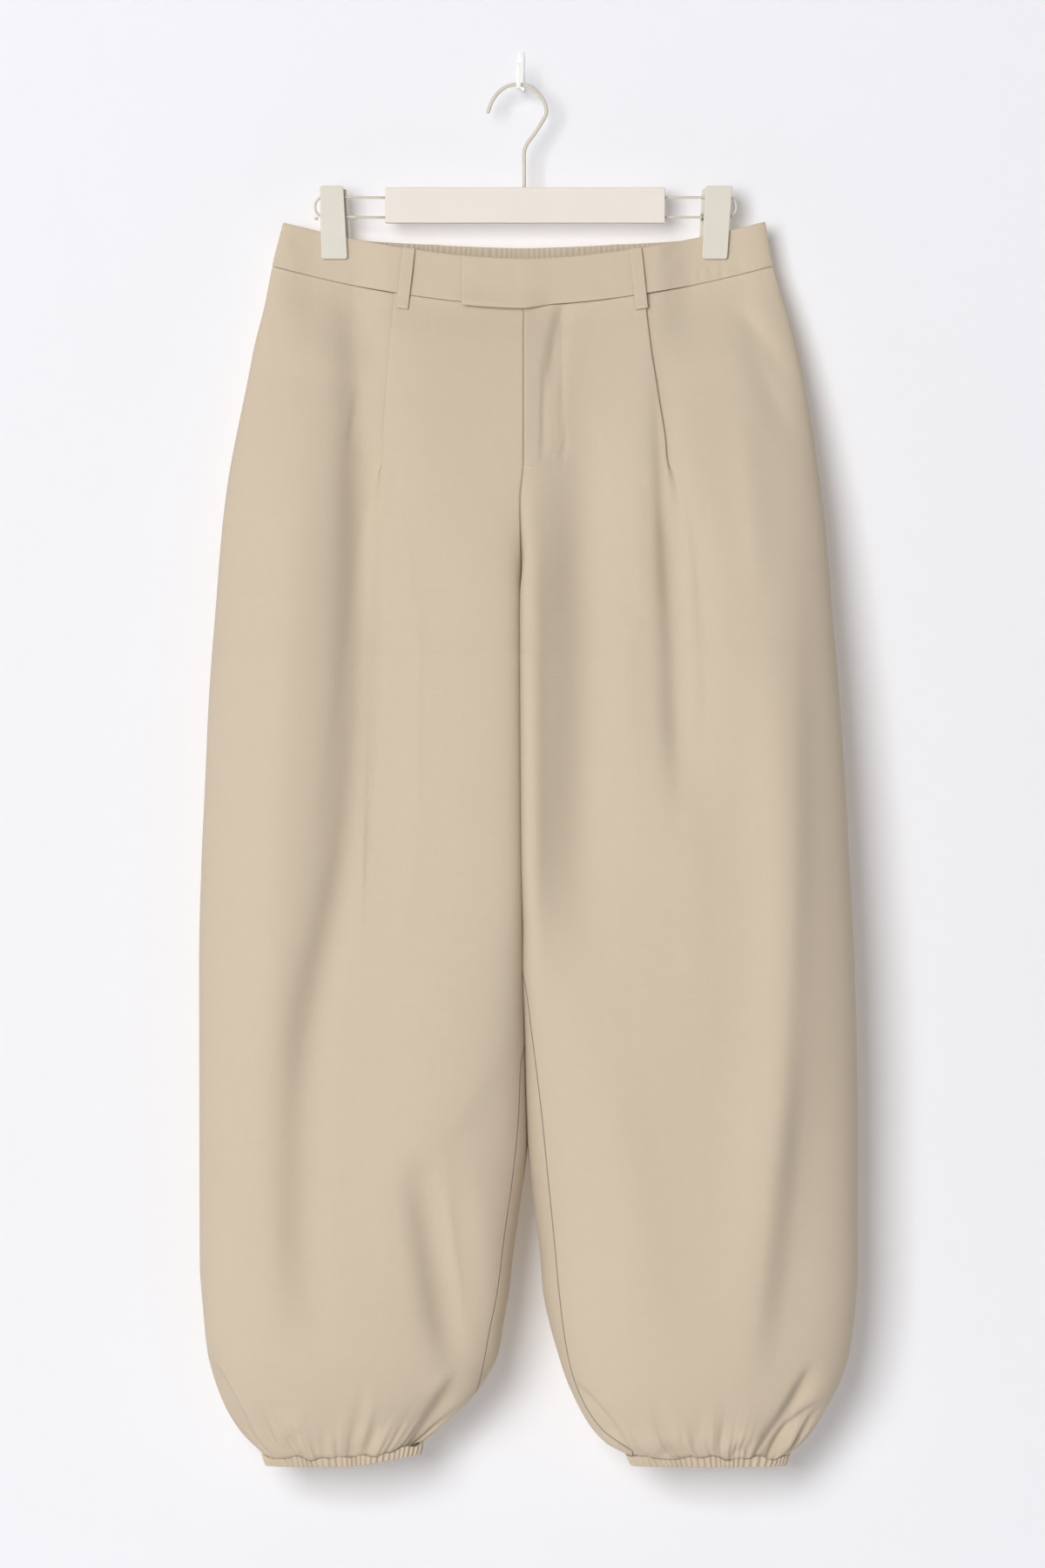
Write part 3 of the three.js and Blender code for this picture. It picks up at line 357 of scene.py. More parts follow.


# Creases that the eye picks out: three places (x, level) along each, its
# height (below zero it sinks), and its half widths on the two sides. Seen running down the
# cloth, "near" is its half width towards -X and "far" the one towards +X.
CREASE_COLUMNS = "x0 l0 x1 l1 x2 l2 height near far"
CREASES = {
    ("front", "right"): table(
        CREASE_COLUMNS,
        (-136, -20, -124, 80, -116, 240, -8, 16, 30),
        (-112, 90, -112, 330, -136, 560, -11, 19, 60),
        (-130, 420, -150, 630, -146, 840, -11, 25, 56),
        (-128, 58, -131, 90, -134, 118, -1.2, 3, 7),
        (-8, 540, -60, 640, -150, 700, 2.2, 30, 12),
        (-58, 655, -47, 745, -38, 830, -6.5, 26, 14),
        (-244, 818, -224, 856, -196, 908, -4.5, 9, 2.6),
        (-194, 892, -172, 872, -148, 896, 3.4, 5, 9),
        (-178, 900, -169, 892, -161, 901, -1.4, 2.2, 3),
        (-138, 904, -133, 893, -126, 884, -1.8, 3, 4),
        (-45, 826, -71, 868, -97, 906, -10.5, 6, 11),
        (-50, 868, -68, 880, -86, 903, -4, 2.4, 5),
        (-30, 842, -52, 838, -80, 846, 2, 10, 8),
        (-106, 902, -99, 894, -91, 884, -2, 3, 4),
        (-128, 906, -120, 896, -108, 894, -1.6, 2.5, 3),
    ),
    ("front", "left"): table(
        CREASE_COLUMNS,
        (101, 8, 110, 140, 116, 290, -2.6, 6, 14),
        (116, 130, 120, 270, 125, 430, -9.5, 12, 24),
        (48, -30, 50, 90, 54, 300, -6, 30, 40),
        (58, 120, 64, 330, 50, 640, -9, 44, 64),
        (3, 100, 3, 330, 4, 640, 5, 5, 14),
        (5, 480, 5, 560, 6, 700, 2.4, 9, 12),
        (36, -6, 27, 24, 20, 80, -4, 5.5, 9),
        (17, 30, 16, 90, 15, 130, -1.5, 1.8, 5),
        (31, -20, 31, 48, 31, 116, -0.9, 1.6, 3),
        (31, 84, 30, 121, 0, 129, -1, 2, 2),
        (163, -2, 190, 30, 217, 82, -1.8, 7, 9),
        (168, 60, 178, 160, 182, 240, 1.8, 10, 12),
        (206, 140, 207, 420, 190, 720, 3.6, 30, 14),
        (200, 540, 189, 690, 168, 870, 6, 30, 14),
        (34, 834, 64, 864, 97, 908, -3.6, 8, 1.8),
        (54, 876, 74, 884, 90, 898, 1.4, 3, 3),
        (102, 898, 118, 890, 136, 908, -3.6, 2.6, 5),
        (134, 908, 147, 898, 158, 901, -1.8, 2.5, 3.5),
        (154, 903, 169, 889, 183, 894, -3.4, 2.6, 5),
        (229, 819, 205, 863, 174, 905, -8.5, 5, 9),
        (239, 853, 211, 871, 183, 904, -5.4, 3.6, 6),
        (238, 856, 221, 875, 204, 901, -3.4, 2.6, 5),
        (222, 590, 214, 720, 194, 860, -4, 16, 30),
    ),
    ("back", "right"): table(
        CREASE_COLUMNS,
        (-60, 20, -84, 160, -98, 330, -2.6, 9, 20),
        (-150, 30, -166, 150, -190, 300, -2.2, 10, 18),
        (-20, 300, -60, 380, -120, 430, -2.4, 8, 16),
        (-120, 560, -132, 700, -118, 840, -3, 12, 22),
    ),
    ("back", "left"): table(
        CREASE_COLUMNS,
        (52, 25, 80, 170, 102, 320, -2.6, 20, 9),
        (140, 30, 160, 140, 184, 290, -2.2, 18, 10),
        (22, 310, 64, 390, 116, 450, -2.4, 8, 16),
        (112, 540, 128, 690, 110, 840, -3, 22, 12),
    ),
}
CREASE_STEPS = 40
CREASE_ENDS = 0.35


def crease_path(x0, l0, x1, l1, x2, l2, steps=CREASE_STEPS):
    """A bow through three places, and its direction."""
    t = np.linspace(0, 1, steps + 1)
    cx, cl = 2 * x1 - (x0 + x2) / 2, 2 * l1 - (l0 + l2) / 2
    x = (1 - t) ** 2 * x0 + 2 * t * (1 - t) * cx + t**2 * x2
    level = (1 - t) ** 2 * l0 + 2 * t * (1 - t) * cl + t**2 * l2
    dx, dl = np.gradient(x), np.gradient(level)
    size = np.hypot(dx, dl)
    return x, level, dx / size, dl / size, t, size


def crease_height(x, level, rows, ends=CREASE_ENDS):
    """The height of all the creases of a table at places on the cloth."""
    height = np.zeros_like(x)
    for x0, l0, x1, l1, x2, l2, peak, near, far in zip(*rows.values()):
        px, pl, tx, tl, t, size = crease_path(x0, l0, x1, l1, x2, l2)
        pad = 3 * max(near, far)
        inside = (x > px.min() - pad) & (x < px.max() + pad)
        inside &= (level > pl.min() - pad) & (level < pl.max() + pad)
        gx, gl = x[inside], level[inside]
        nearest = np.argmin((gx[:, None] - px) ** 2 + (gl[:, None] - pl) ** 2, axis=1)
        ox, ol = gx - px[nearest], gl - pl[nearest]
        across = ox * tl[nearest] - ol * tx[nearest]
        along = (ox * tx[nearest] + ol * tl[nearest]) / size[nearest] / CREASE_STEPS
        share = t[nearest] + along
        taper = window(share, 0, ends, 1 - ends, 1)
        width = np.where(across < 0, near, far)
        height[inside] += peak * taper * np.exp(-((across / width) ** 2))
    return height


def wobble(seed, count, low, high):
    """A smooth random line over 0 to 1: a sum of waves with seeded lengths and places."""
    source = np.random.default_rng(seed)
    waves = source.uniform(low, high, count)
    places = source.uniform(0, 2 * math.pi, count)
    sizes = source.uniform(0.4, 1, count)

    def read(share):
        total = 0
        for wave, place, size in zip(waves, places, sizes):
            total = total + size * np.sin(2 * math.pi * wave * share + place)
        return total / sizes.sum()

    return read


# Gathers at the hems: fine ruffles held by the elastic, and longer folds that grow out of them.
HEM_RUFFLES = 33
HEM_ENDS = (0, 0.03, 0.97, 1)
MOST_HANG = 6.6
RUFFLE_DEPTH = 0.75
RUFFLE_HEIGHT = 13
GATHER_LENGTHS = table("count height depth", (17, 34, 1.1), (8, 62, 1.7))


def hem_number(leg, face):
    """0 to 3, which keeps the seeds of the four half hems apart."""
    return 2 * (leg == "left") + (face == "back")


def ruffle_wave(leg, face, share):
    """The fine ruffles of a hem, -1 to 1; share runs from the inner seam to the side seam."""
    seed = 40 + hem_number(leg, face)
    sway = wobble(seed, 5, 1, 4)
    ends = window(share, *HEM_ENDS)
    phase = HEM_RUFFLES * share + 0.7 * sway(share)
    uneven = 0.75 + 0.5 * wobble(seed + 10, 6, 3, 9)(share)
    return np.sin(2 * math.pi * phase) * uneven * ends


HEM_HANG = table(
    "start end height",
    (0.02, 0.2, 3), (0.16, 0.42, 5.5), (0.38, 0.55, 3), (0.5, 0.78, 5), (0.74, 0.97, 4.5),
)


def hem_hang(leg, face, share):
    """How far the puffed cloth hangs over the elastic casing."""
    seed = 60 + hem_number(leg, face)
    hang = 0
    for start, end, height in zip(*HEM_HANG.values()):
        t = np.clip((share - start) / (end - start), 0, 1)
        hang = np.maximum(hang, height * np.sin(math.pi * t) ** 0.6)
    hang = hang * (0.8 + 0.5 * wobble(seed, 6, 3, 9)(share))
    return np.clip(hang, 0, MOST_HANG) * window(share, 0, 0.04, 0.95, 1)


def hem_gathers(leg, face, share, drop):
    """Outward height of the gathers above a hem."""
    seed = 40 + hem_number(leg, face)
    ends = window(share, *HEM_ENDS)
    below = HEM_DROP - drop
    puff = (1.1 + 0.45 * hem_hang(leg, face, share)) * smooth(0, 3, below)
    puff = puff * (1 - smooth(5, 20, below)) * (0.85 + 0.4 * wobble(seed + 15, 6, 4, 11)(share))
    fine = ruffle_wave(leg, face, share) * RUFFLE_DEPTH
    total = fine * np.exp(-np.maximum(0, below) / RUFFLE_HEIGHT) + puff
    for k, (count, height, depth) in enumerate(zip(*GATHER_LENGTHS.values())):
        line = wobble(seed + 20 + k, 5, 1, 3)
        reachy = height * (0.75 + 0.6 * wobble(seed + 30 + k, 6, 2, 7)(share))
        grow = 1 - smooth(0, 1, below / np.maximum(8, reachy))
        fold = np.sin(2 * math.pi * (count * share + 0.8 * line(share)))
        near_seam = 0.35 + 0.65 * smooth(0, 16, below)
        total = total + depth * fold * grow * near_seam
    return total * ends


INNER_FADE = {"front": 9, "back": 12}
SIDE_FADE = 14
SEAM_PUCKER, SEAM_PUCKER_HEIGHT = 0.28, 9


def cloth_relief(leg, face, stations, share):
    """Height of creases and gathers over the plan, in millimetres."""
    plan = stations.plan
    level = SEAM_Z - height_at(leg, face, plan.sign * stations.x, stations.drop)
    inner = smooth(0, INNER_FADE[face], stations.lengths)
    side = smooth(0, SIDE_FADE, plan.total - stations.lengths)
    height = crease_height(stations.x, level, CREASES[face, leg]) * inner * side
    pucker = wobble(70 + len(leg) + len(face), 7, 9, 26)(share)
    near_seam = np.exp(-np.maximum(0, stations.drop) / SEAM_PUCKER_HEIGHT)
    height += SEAM_PUCKER * pucker * near_seam * inner * side
    return height + hem_gathers(leg, face, share, stations.drop)


SEAM_ROLL = 0.8


def seam_roll(distance, radius=SEAM_ROLL):
    """How far a sewn edge turns in, at a distance from it."""
    d = np.clip(radius - distance, 0, radius)
    return radius - np.sqrt(radius**2 - d**2)


UPPER_ROWS_END, LOWER_ROWS_START = 120, 790


def panel_rows(counts):
    """Rows from the waist seam to the hem, closer together towards both."""
    upper, middle, lower = counts
    close = np.array([0, 0.15, 0.4, 0.9])
    return np.concatenate([
        SEAM_GAP / 2 + close,
        np.linspace(2.5, UPPER_ROWS_END, upper, endpoint=False),
        np.linspace(UPPER_ROWS_END, LOWER_ROWS_START, middle, endpoint=False),
        np.linspace(LOWER_ROWS_START, HEM_DROP - 2, lower),
        HEM_DROP - SEAM_GAP / 2 - close[::-1],
    ])


MOST_SLOPE = 2.2


def inner_points(outer, stations, thickness):
    """The inside of a wall: each point moved inward in plan, further where the cloth slopes."""
    fall = np.gradient(outer, axis=0)
    size = np.maximum(1e-6, np.hypot(stations.nx, stations.ny))
    run = (fall[..., 0] * stations.nx + fall[..., 1] * stations.ny) / size
    slope = np.minimum(MOST_SLOPE, np.hypot(1, run / np.maximum(1e-6, np.abs(fall[..., 2]))))
    move = thickness * slope
    inner = outer.copy()
    inner[..., 0] -= move * stations.nx
    inner[..., 1] -= move * stations.ny
    return inner


def linked(name, data):
    """An object with this data, in the scene."""
    made = bpy.data.objects.new(name, data)
    bpy.context.scene.collection.objects.link(made)
    return made


def mesh_object(name, vertices, faces, material, uv=None, seam=None):
    """A mesh object from arrays in millimetres; faces are lists of corners."""
    mesh = bpy.data.meshes.new(name)
    mesh.from_pydata((np.asarray(vertices) * MM).tolist(), [], [list(f) for f in faces])
    if uv is not None:
        layer = mesh.uv_layers.new(name="cloth")
        corner = np.empty(len(mesh.loops), int)
        mesh.loops.foreach_get("vertex_index", corner)
        layer.data.foreach_set("uv", np.asarray(uv, np.float32)[corner].ravel())
    if seam is not None:
        layer = mesh.attributes.new("seam", "FLOAT", "POINT")
        layer.data.foreach_set("value", np.asarray(seam, np.float32))
    mesh.shade_smooth()
    mesh.validate()
    made = linked(name, mesh)
    mesh.materials.append(material)
    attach(made, "root")
    return made


def wall_faces(rows, columns, ring=False):
    """Quads of a closed wall between an outer and an inner grid."""
    spans = columns if ring else columns - 1
    grid = np.arange(rows * columns).reshape(rows, columns)
    after = np.roll(grid, -1, axis=1)[:, :spans]
    here = grid[:, :spans]
    a, b, c, d = (g.ravel() for g in (here[:-1], after[:-1], after[1:], here[1:]))
    shift = rows * columns
    quads = [np.stack([a, b, c, d], 1), np.stack([a, d, c, b], 1) + shift]
    rims = [(here[0], after[0]), (after[-1], here[-1])]
    if not ring:
        rims += [(grid[1:, 0], grid[:-1, 0]), (grid[:-1, -1], grid[1:, -1])]
    quads += [np.stack([p, p + shift, q + shift, q], 1) for p, q in rims]
    return np.concatenate(quads)


def wall_object(name, outer, inner, uv, ring=False, seam=None):
    """A shell of cloth between two grids of points."""
    rows, columns = outer.shape[:2]
    faces = wall_faces(rows, columns, ring)
    corner = outer[:-1, :-1]
    facing = np.cross(outer[:-1, 1:] - corner, outer[1:, :-1] - corner)
    if (facing * (corner - inner[:-1, :-1])).sum() < 0:
        faces = faces[:, ::-1]
    vertices = np.concatenate([outer.reshape(-1, 3), inner.reshape(-1, 3)])
    plane = np.concatenate([uv.reshape(-1, 2)] * 2) * MM
    away = np.full(outer.shape[:2], NO_SEAM) if seam is None else seam
    mark = np.concatenate([away.ravel()] * 2)
    return mesh_object(name, vertices, faces, CLOTH, plane, mark)


def wall_points(stations, outer, inner):
    """The outer and inner points of a wall, from two heights over its stations."""
    return stations.moved(0, outer).points(), stations.moved(0, inner).points()


# Node materials
class Shader:
    """A material's node tree with short ways to add and join nodes."""

    def __init__(self, name):
        self.material = bpy.data.materials.new(name)
        self.material.use_nodes = True
        self.tree = self.material.node_tree
        self.principled = self.tree.nodes["Principled BSDF"]

    def add(self, kind, settings=None, **inputs):
        made = self.tree.nodes.new(kind)
        for key, value in (settings or {}).items():
            setattr(made, key, value)
        for key, value in inputs.items():
            self.put(made, key.replace("_", " ").capitalize(), value)
        return made

    def put(self, target, key, value):
        socket = target.inputs[key]
        if isinstance(value, bpy.types.NodeSocket):
            self.tree.links.new(value, socket)
        else:
            socket.default_value = value

    def maths(self, operation, *values):
        made = self.add("ShaderNodeMath", {"operation": operation})
        for k, value in enumerate(values):
            self.put(made, k, value)
        return made.outputs[0]

    def ramp(self, value, low, high, out_low, out_high):
        made = self.add("ShaderNodeMapRange", {"interpolation_type": "SMOOTHSTEP"})
        for key, what in (("Value", value), ("From Min", low), ("From Max", high),
                          ("To Min", out_low), ("To Max", out_high)):
            self.put(made, key, what)
        return made.outputs[0]

    def noise(self, vector, scale, detail=2.0):
        made = self.add("ShaderNodeTexNoise", Vector=vector, Scale=scale, Detail=detail)
        return made.outputs["Fac"]

    def stretched(self, vector, scale):
        made = self.add("ShaderNodeMapping", Vector=vector)
        made.inputs["Scale"].default_value = scale
        return made.outputs[0]

    def bump(self, height, distance, strength=1.0, normal=None):
        made = self.add("ShaderNodeBump", Height=height, Distance=distance, Strength=strength)
        if normal is not None:
            self.put(made, "Normal", normal)
        return made.outputs[0]

    def tinted(self, colour, value, low, high):
        """A colour made lighter or darker by a value from 0 to 1."""
        share = self.ramp(value, 0.0, 1.0, low, high)
        made = self.add("ShaderNodeVectorMath", {"operation": "SCALE"})
        self.put(made, 0, colour)
        self.put(made, "Scale", share)
        return made.outputs[0]


def linear(red, green, blue):
    """A linear colour from the 0 to 255 values that a screen shows."""
    return tuple(
        (v / 12.92 if v <= 0.04045 else ((v + 0.055) / 1.055) ** 2.4)
        for v in (red / 255, green / 255, blue / 255)
    )


CLOTH_COLOUR = linear(203, 187, 165)
THREAD_COLOUR = linear(224, 211, 188)
BOARD_COLOUR = linear(226, 217, 207)
CLIP_COLOUR = linear(212, 206, 193)
WIRE_COLOUR = linear(206, 197, 183)
WHITE_COLOUR = linear(238, 238, 236)
THREAD_PITCH = 0.00042
WEAVE_DEPTH = 0.00005
TWILL_SLOPE = 0.62
# The last of these is painted shade: the share of the cloth's colour left in the seam's groove,
# darkened as if its crevice were in shade.
GROOVE_HALF_WIDTH, GROOVE_DEPTH, GROOVE_PAINTED_SHADE = 0.55, 0.0006, 0.55


def cloth_material():
    """Twill with a fine weave, slubs, a cloudy tone, and the groove of its seam: a bump, with
    painted shade darkening its colour.
    """
    s = Shader("cotton_twill")
    uv = s.add("ShaderNodeUVMap", {"uv_map": "cloth"}).outputs[0]
    across, down, _ = s.add("ShaderNodeSeparateXYZ", Vector=uv).outputs
    turns = 2 * math.pi / THREAD_PITCH
    warp = s.maths("SINE", s.maths("MULTIPLY", across, turns))
    diagonal = s.maths("ADD", across, s.maths("MULTIPLY", down, TWILL_SLOPE))
    twill = s.maths("SINE", s.maths("MULTIPLY", diagonal, turns / 2))
    weave = s.maths("ADD", s.maths("MULTIPLY", warp, 0.35), s.maths("MULTIPLY", twill, 0.5))
    slub_down = s.noise(s.stretched(uv, (900, 26, 1)), 1.0)
    slub_across = s.noise(s.stretched(uv, (34, 800, 1)), 1.0)
    slubs = s.maths("ADD", slub_down, slub_across)
    cloud = s.noise(s.stretched(uv, (9, 5, 1)), 1.0, 3.0)
    seam = s.add("ShaderNodeAttribute", {"attribute_name": "seam"}).outputs["Fac"]
    # The groove is a bump in the cloth's normal and also the mask of painted shade in its colour.
    groove = s.ramp(s.maths("ABSOLUTE", seam), 0.1, GROOVE_HALF_WIDTH, 0.0, 1.0)
    tone = s.maths("ADD", s.maths("MULTIPLY", slubs, 0.3), s.maths("MULTIPLY", cloud, 0.4))
    colour = s.tinted(CLOTH_COLOUR, tone, 0.965, 1.035)
    # Painted shade: the colour is darkened along the seam line, standing in for the shade in the
    # seam's crevice.
    s.put(s.principled, "Base Color", s.tinted(colour, groove, GROOVE_PAINTED_SHADE, 1.0))
    height = s.maths("ADD", weave, s.maths("MULTIPLY", slubs, 2.2))
    normal = s.bump(height, WEAVE_DEPTH)
    s.put(s.principled, "Normal", s.bump(groove, GROOVE_DEPTH, 1.0, normal))
    s.put(s.principled, "Roughness", s.ramp(cloud, 0.2, 0.8, 0.84, 0.93))
    s.put(s.principled, "Specular IOR Level", 0.25)
    s.put(s.principled, "Sheen Weight", 0.12)
    s.put(s.principled, "Sheen Roughness", 0.45)
    return s.material


def painted_material(name, colour, roughness, grain, depth):
    """Smooth paint or plastic: grain is how fine its skin is, depth how deep."""
    s = Shader(name)
    place = s.add("ShaderNodeTexCoord").outputs["Object"]
    skin = s.noise(place, grain, 3.0)
    cloud = s.noise(place, 28.0, 2.0)
    s.put(s.principled, "Base Color", s.tinted(colour, cloud, 0.98, 1.02))
    rough = s.ramp(skin, 0.3, 0.7, roughness - 0.05, roughness + 0.06)
    s.put(s.principled, "Roughness", rough)
    s.put(s.principled, "Normal", s.bump(skin, depth))
    s.put(s.principled, "Specular IOR Level", 0.4)
    return s.material


def thread_material():
    """Thread with fine fibres across it."""
    s = Shader("sewing_thread")
    place = s.add("ShaderNodeTexCoord").outputs["Object"]
    fibre = s.noise(place, 5200.0, 2.0)
    s.put(s.principled, "Base Color", s.tinted(THREAD_COLOUR, fibre, 0.93, 1.05))
    s.put(s.principled, "Roughness", s.ramp(fibre, 0.3, 0.7, 0.6, 0.8))
    s.put(s.principled, "Normal", s.bump(fibre, 0.00006))
    return s.material


CLOTH = cloth_material()
THREAD = thread_material()
BOARD = painted_material("cream_board", BOARD_COLOUR, 0.5, 900.0, 0.00002)
CLIP = painted_material("cream_clip", CLIP_COLOUR, 0.42, 1400.0, 0.00001)
WIRE = painted_material("cream_wire", WIRE_COLOUR, 0.38, 1600.0, 0.00001)
WHITE = painted_material("white_paint", WHITE_COLOUR, 0.4, 1500.0, 0.00001)


def cloth_piece(
    name, node, wall, flat, held="hung", rests_on=("hanger_bar",), ease=1.0, **shape
):
    """A piece of cloth: its wall and what it stands for. The size it was cut to is not used."""
    piece = wall_object(name, *wall, **shape)
    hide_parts(node)


# Leg panels
INSEAM_LINES = {
    "right": table(
        "level x",
        (560, 6), (594, -1.4), (628, -2.7), (679, -7.5), (722, -13.6), (768, -19.4), (800, -25.8),
        (830, -31.3), (852, -38), (876, -58), (893, -84),
    ),
    "left": table(
        "level x",
        (500, -6), (530, 2), (571, 7.5), (625, 14.3), (679, 19.7), (730, 24.8), (768, 28.3),
        (822, 36), (852, 46), (876, 62), (893, 86),
    ),
}
PLEAT_SHAPE = table(
    "bulge tuck depth open outward along",
    (0.4, 0, 0.1, 0.1, 0.87, 0.5), (0.6, 0, 0.3, 0.2, 0.1, 1), (0.4, 0, 0.52, 0.3, -0.87, 0.5),
    (0, 0, 0.62, 0.4, -1, 0), (0, 0.5, 0.64, 0.5, -1, 0), (0, 1, 0.68, 0.6, -1, -0.2),
    (0, 1.03, 0.84, 0.7, 0, -1), (0, 1, 1, 0.8, 1, -0.2), (0, 0.6, 1, 0.9, 1, 0),
    (0, 0.2, 1, 1, 1, 0),
)
PLEAT_FADE = 75
FRONT_COLUMNS = (66, 108)
BACK_COLUMNS = 116
FRONT_ROWS = (34, 100, 70)
BACK_ROWS = (24, 104, 50)
HANG_FADE = 26

# Sizes that the pieces were cut to are in metres, and areas in square metres.
PANEL_WIDTH = {"front": 0.345, "back": 0.33}
PANEL_LENGTH = 0.915
PANEL_EASE = 1.08


def front_stations(leg):
    """Columns of a front panel: up to the pleat, round the pleat, and on to the side seam."""
    plan = Plan(leg, "front", panel_rows(FRONT_ROWS))
    first, last = SEAM_GAP / 2, plan.total - SEAM_GAP / 2
    fold = plan.length_at_reach(curve(PLEAT, leg)(plan.drops)[:, None])
    tuck = curve(PLEAT, "tuck")(plan.drops)[:, None]
    step = curve(PLEAT, "step")(plan.drops)[:, None]
    to_pleat, from_pleat = FRONT_COLUMNS
    near = plan.stations(mix(first, fold, np.linspace(0, 1, to_pleat + 1)[None, :]))
    shape = {name: value[None, :] for name, value in PLEAT_SHAPE.items()}
    folded = 1 - smooth(-4, 3, -tuck)
    opened = np.maximum(-tuck, 0)
    bulge = shape["bulge"] * smooth(0, 5, tuck) * 1.6
    along = bulge - np.maximum(tuck, 0) * shape["tuck"]
    depth = mix(smooth(0, 1, shape["open"]), shape["depth"], folded)
    pleat = plan.stations(fold + opened * shape["open"]).moved(along, -step * depth)
    pleat = pleat.turned(mix(1, shape["outward"], folded), mix(0, shape["along"], folded))
    rest = fold + opened
    lengths = mix(rest, last, np.linspace(0, 1, from_pleat + 1)[None, 1:])
    sunk = step * (1 - smooth(0, PLEAT_FADE, lengths - rest))
    return Stations.joined([near, pleat, plan.stations(lengths).moved(0, -sunk)])


def back_stations(leg):
    """Columns of a back panel, from the seat seam to the side seam."""
    plan = Plan(leg, "back", panel_rows(BACK_ROWS))
    share = np.linspace(0, 1, BACK_COLUMNS + 1)[None, :]
    return plan.stations(mix(SEAM_GAP / 2, plan.total - SEAM_GAP / 2, share))


def rolled(stations):
    """How far a panel's sewn edges turn in, at the waist, the hem and the side."""
    drop = stations.drop
    roll = seam_roll(drop - SEAM_GAP / 2) + seam_roll(HEM_DROP - SEAM_GAP / 2 - drop)
    return roll + seam_roll(stations.plan.total - stations.lengths)


def seam_distance(leg, points):
    """Distance in millimetres from the seam line that shows on a front's inner side, along which
    the cloth's shader paints shade and a groove bump.
    """
    line = curve(INSEAM_LINES[leg], "x", "level")
    level = SEAM_Z - points[..., 2]
    slope = (line(level + 2) - line(level - 2)) / 4
    return (points[..., 0] - line(level)) / np.hypot(1, slope)


PANELS = {}


def panel(leg, face):
    """A leg panel with its creases, gathers and rolled edges."""
    stations = (front_stations if face == "front" else back_stations)(leg)
    share = stations.lengths / stations.plan.total
    height = cloth_relief(leg, face, stations, share) - rolled(stations)
    placed = stations.raised(height)
    outer = placed.points()
    outer[..., 2] -= hem_hang(leg, face, share) * smooth(HANG_FADE, 0, HEM_DROP - stations.drop)
    inner = inner_points(outer, stations, CLOTH_WALL)
    mark = seam_distance(leg, outer) if face == "front" else None
    PANELS[face, leg] = placed
    cloth_piece(f"trouser_{face}_{leg}", f"{face}_{leg}", (outer, inner, stations.uv()),
                (PANEL_WIDTH[face], PANEL_LENGTH), ease=PANEL_EASE, seam=mark)


def on_cloth(face, leg, x, drop):
    """A point on a panel's outside at x and drop, and the outward direction there."""
    placed = PANELS[face, leg]
    rows = placed.plan.drops
    j = int(np.clip(np.searchsorted(rows, drop) - 1, 0, len(rows) - 2))
    t = (drop - rows[j]) / (rows[j + 1] - rows[j])
    sign = placed.plan.sign
    read = []
    for row in (j, j + 1):
        at = sign * placed.x[row]
        limit = len(at) if face == "back" else FRONT_COLUMNS[0] + 1
        order = slice(0, limit) if sign * x < at[limit - 1] else slice(limit + 9, None)
        values = (placed.y, placed.nx, placed.ny)
        read.append([np.interp(sign * x, at[order], v[row][order]) for v in values])
    y, nx, ny = (mix(a, b, t) for a, b in zip(*read))
    return np.array([x, y, height_at(leg, face, abs(x), drop)]), np.array([nx, ny, 0.0])


for leg in LEGS:
    for face in FACES:
        panel(leg, face)


# Waistbands. Creases as above, on the bands' outside.
BAND_CREASES = table(
    CREASE_COLUMNS,
    (-194, -29, -190, -21, -186, -13, -1.2, 3, 4.5),
    (-183, -58, -177, -51, -170, -44, -1, 3.5, 6),
    (-179, -28, -172, -17, -165, -6, -1.2, 4, 6),
    (-148, -20, -146, -10, -143, 2, -1.4, 3, 4.5),
    (-128, -20, -124, -12, -119, -2, -0.7, 3, 5),
    (-40, -25, -34, -15, -27, -4, -0.35, 4, 6),
    (-9, -30, -3, -22, 4, -14, -0.7, 3, 4.5),
    (48, -27, 60, -17, 72, -8, -0.7, 5, 6),
    (131, -50, 117, -40, 103, -30, -0.9, 5, 4),
    (138, -31, 138.5, -25, 139, -18, -0.8, 1.6, 2.2),
    (147, -32, 147, -26, 146, -19, -0.8, 1.6, 2.4),
    (157, -33, 156, -26, 154, -18, -0.9, 1.8, 2.4),
    (166, -34, 172, -27, 181, -22, -0.6, 3, 4),
)
BAND_CREASE_ENDS = 0.5
BAND_PUCKER, BAND_PUCKER_HEIGHT = 0.22, 7
BAND_SWAY = 0.3
BAND_ROWS = 13
BAND_COLUMNS = 130
BAND_ROLL, BAND_INNER_ROLL, BAND_SEAM_ROLL = 0.85, 0.8, 0.6
BACK_RUFFLES = 44
BACK_RUFFLE_DEPTH = 0.38
BACK_BAND_COLUMNS = 300
NIPPED_SHARE = 0.85
TAB_COLUMNS = 40
TAB_BELOW_SEAM = 2.6
TAB_LIP, TAB_LIP_HEIGHT = 4.2, 10
TAB_OVERLAP = 0.6
TAB_DIMPLE = (-40.2, -22, 2.4)  # x, drop and size of the small dent near the tab's end
TAB_LAP = BAND_WALL + LAP_GAP


def close_to_edges(start, end, count):
    """Evenly spaced values with closer ones beside both ends."""
    close = EDGE_STEPS * np.sign(end - start)
    inner = np.linspace(start, end, count + 2)[1:-1]
    return np.concatenate([start + close, inner, end - close[::-1]])


def band_relief(leg, stations):
    """Height of the creases and the puckers of a front band."""
    level = SEAM_Z - height_at(leg, "front", stations.plan.sign * stations.x, stations.drop)
    height = crease_height(stations.x, level, BAND_CREASES, BAND_CREASE_ENDS)
    share = stations.lengths / stations.plan.total
    pucker = wobble(90 + len(leg), 7, 8, 22)(share)
    near_seam = np.exp(np.minimum(0, stations.drop) / BAND_PUCKER_HEIGHT)
    height = height + BAND_PUCKER * pucker * near_seam
    return height + BAND_SWAY * wobble(93, 4, 2, 5)(share)


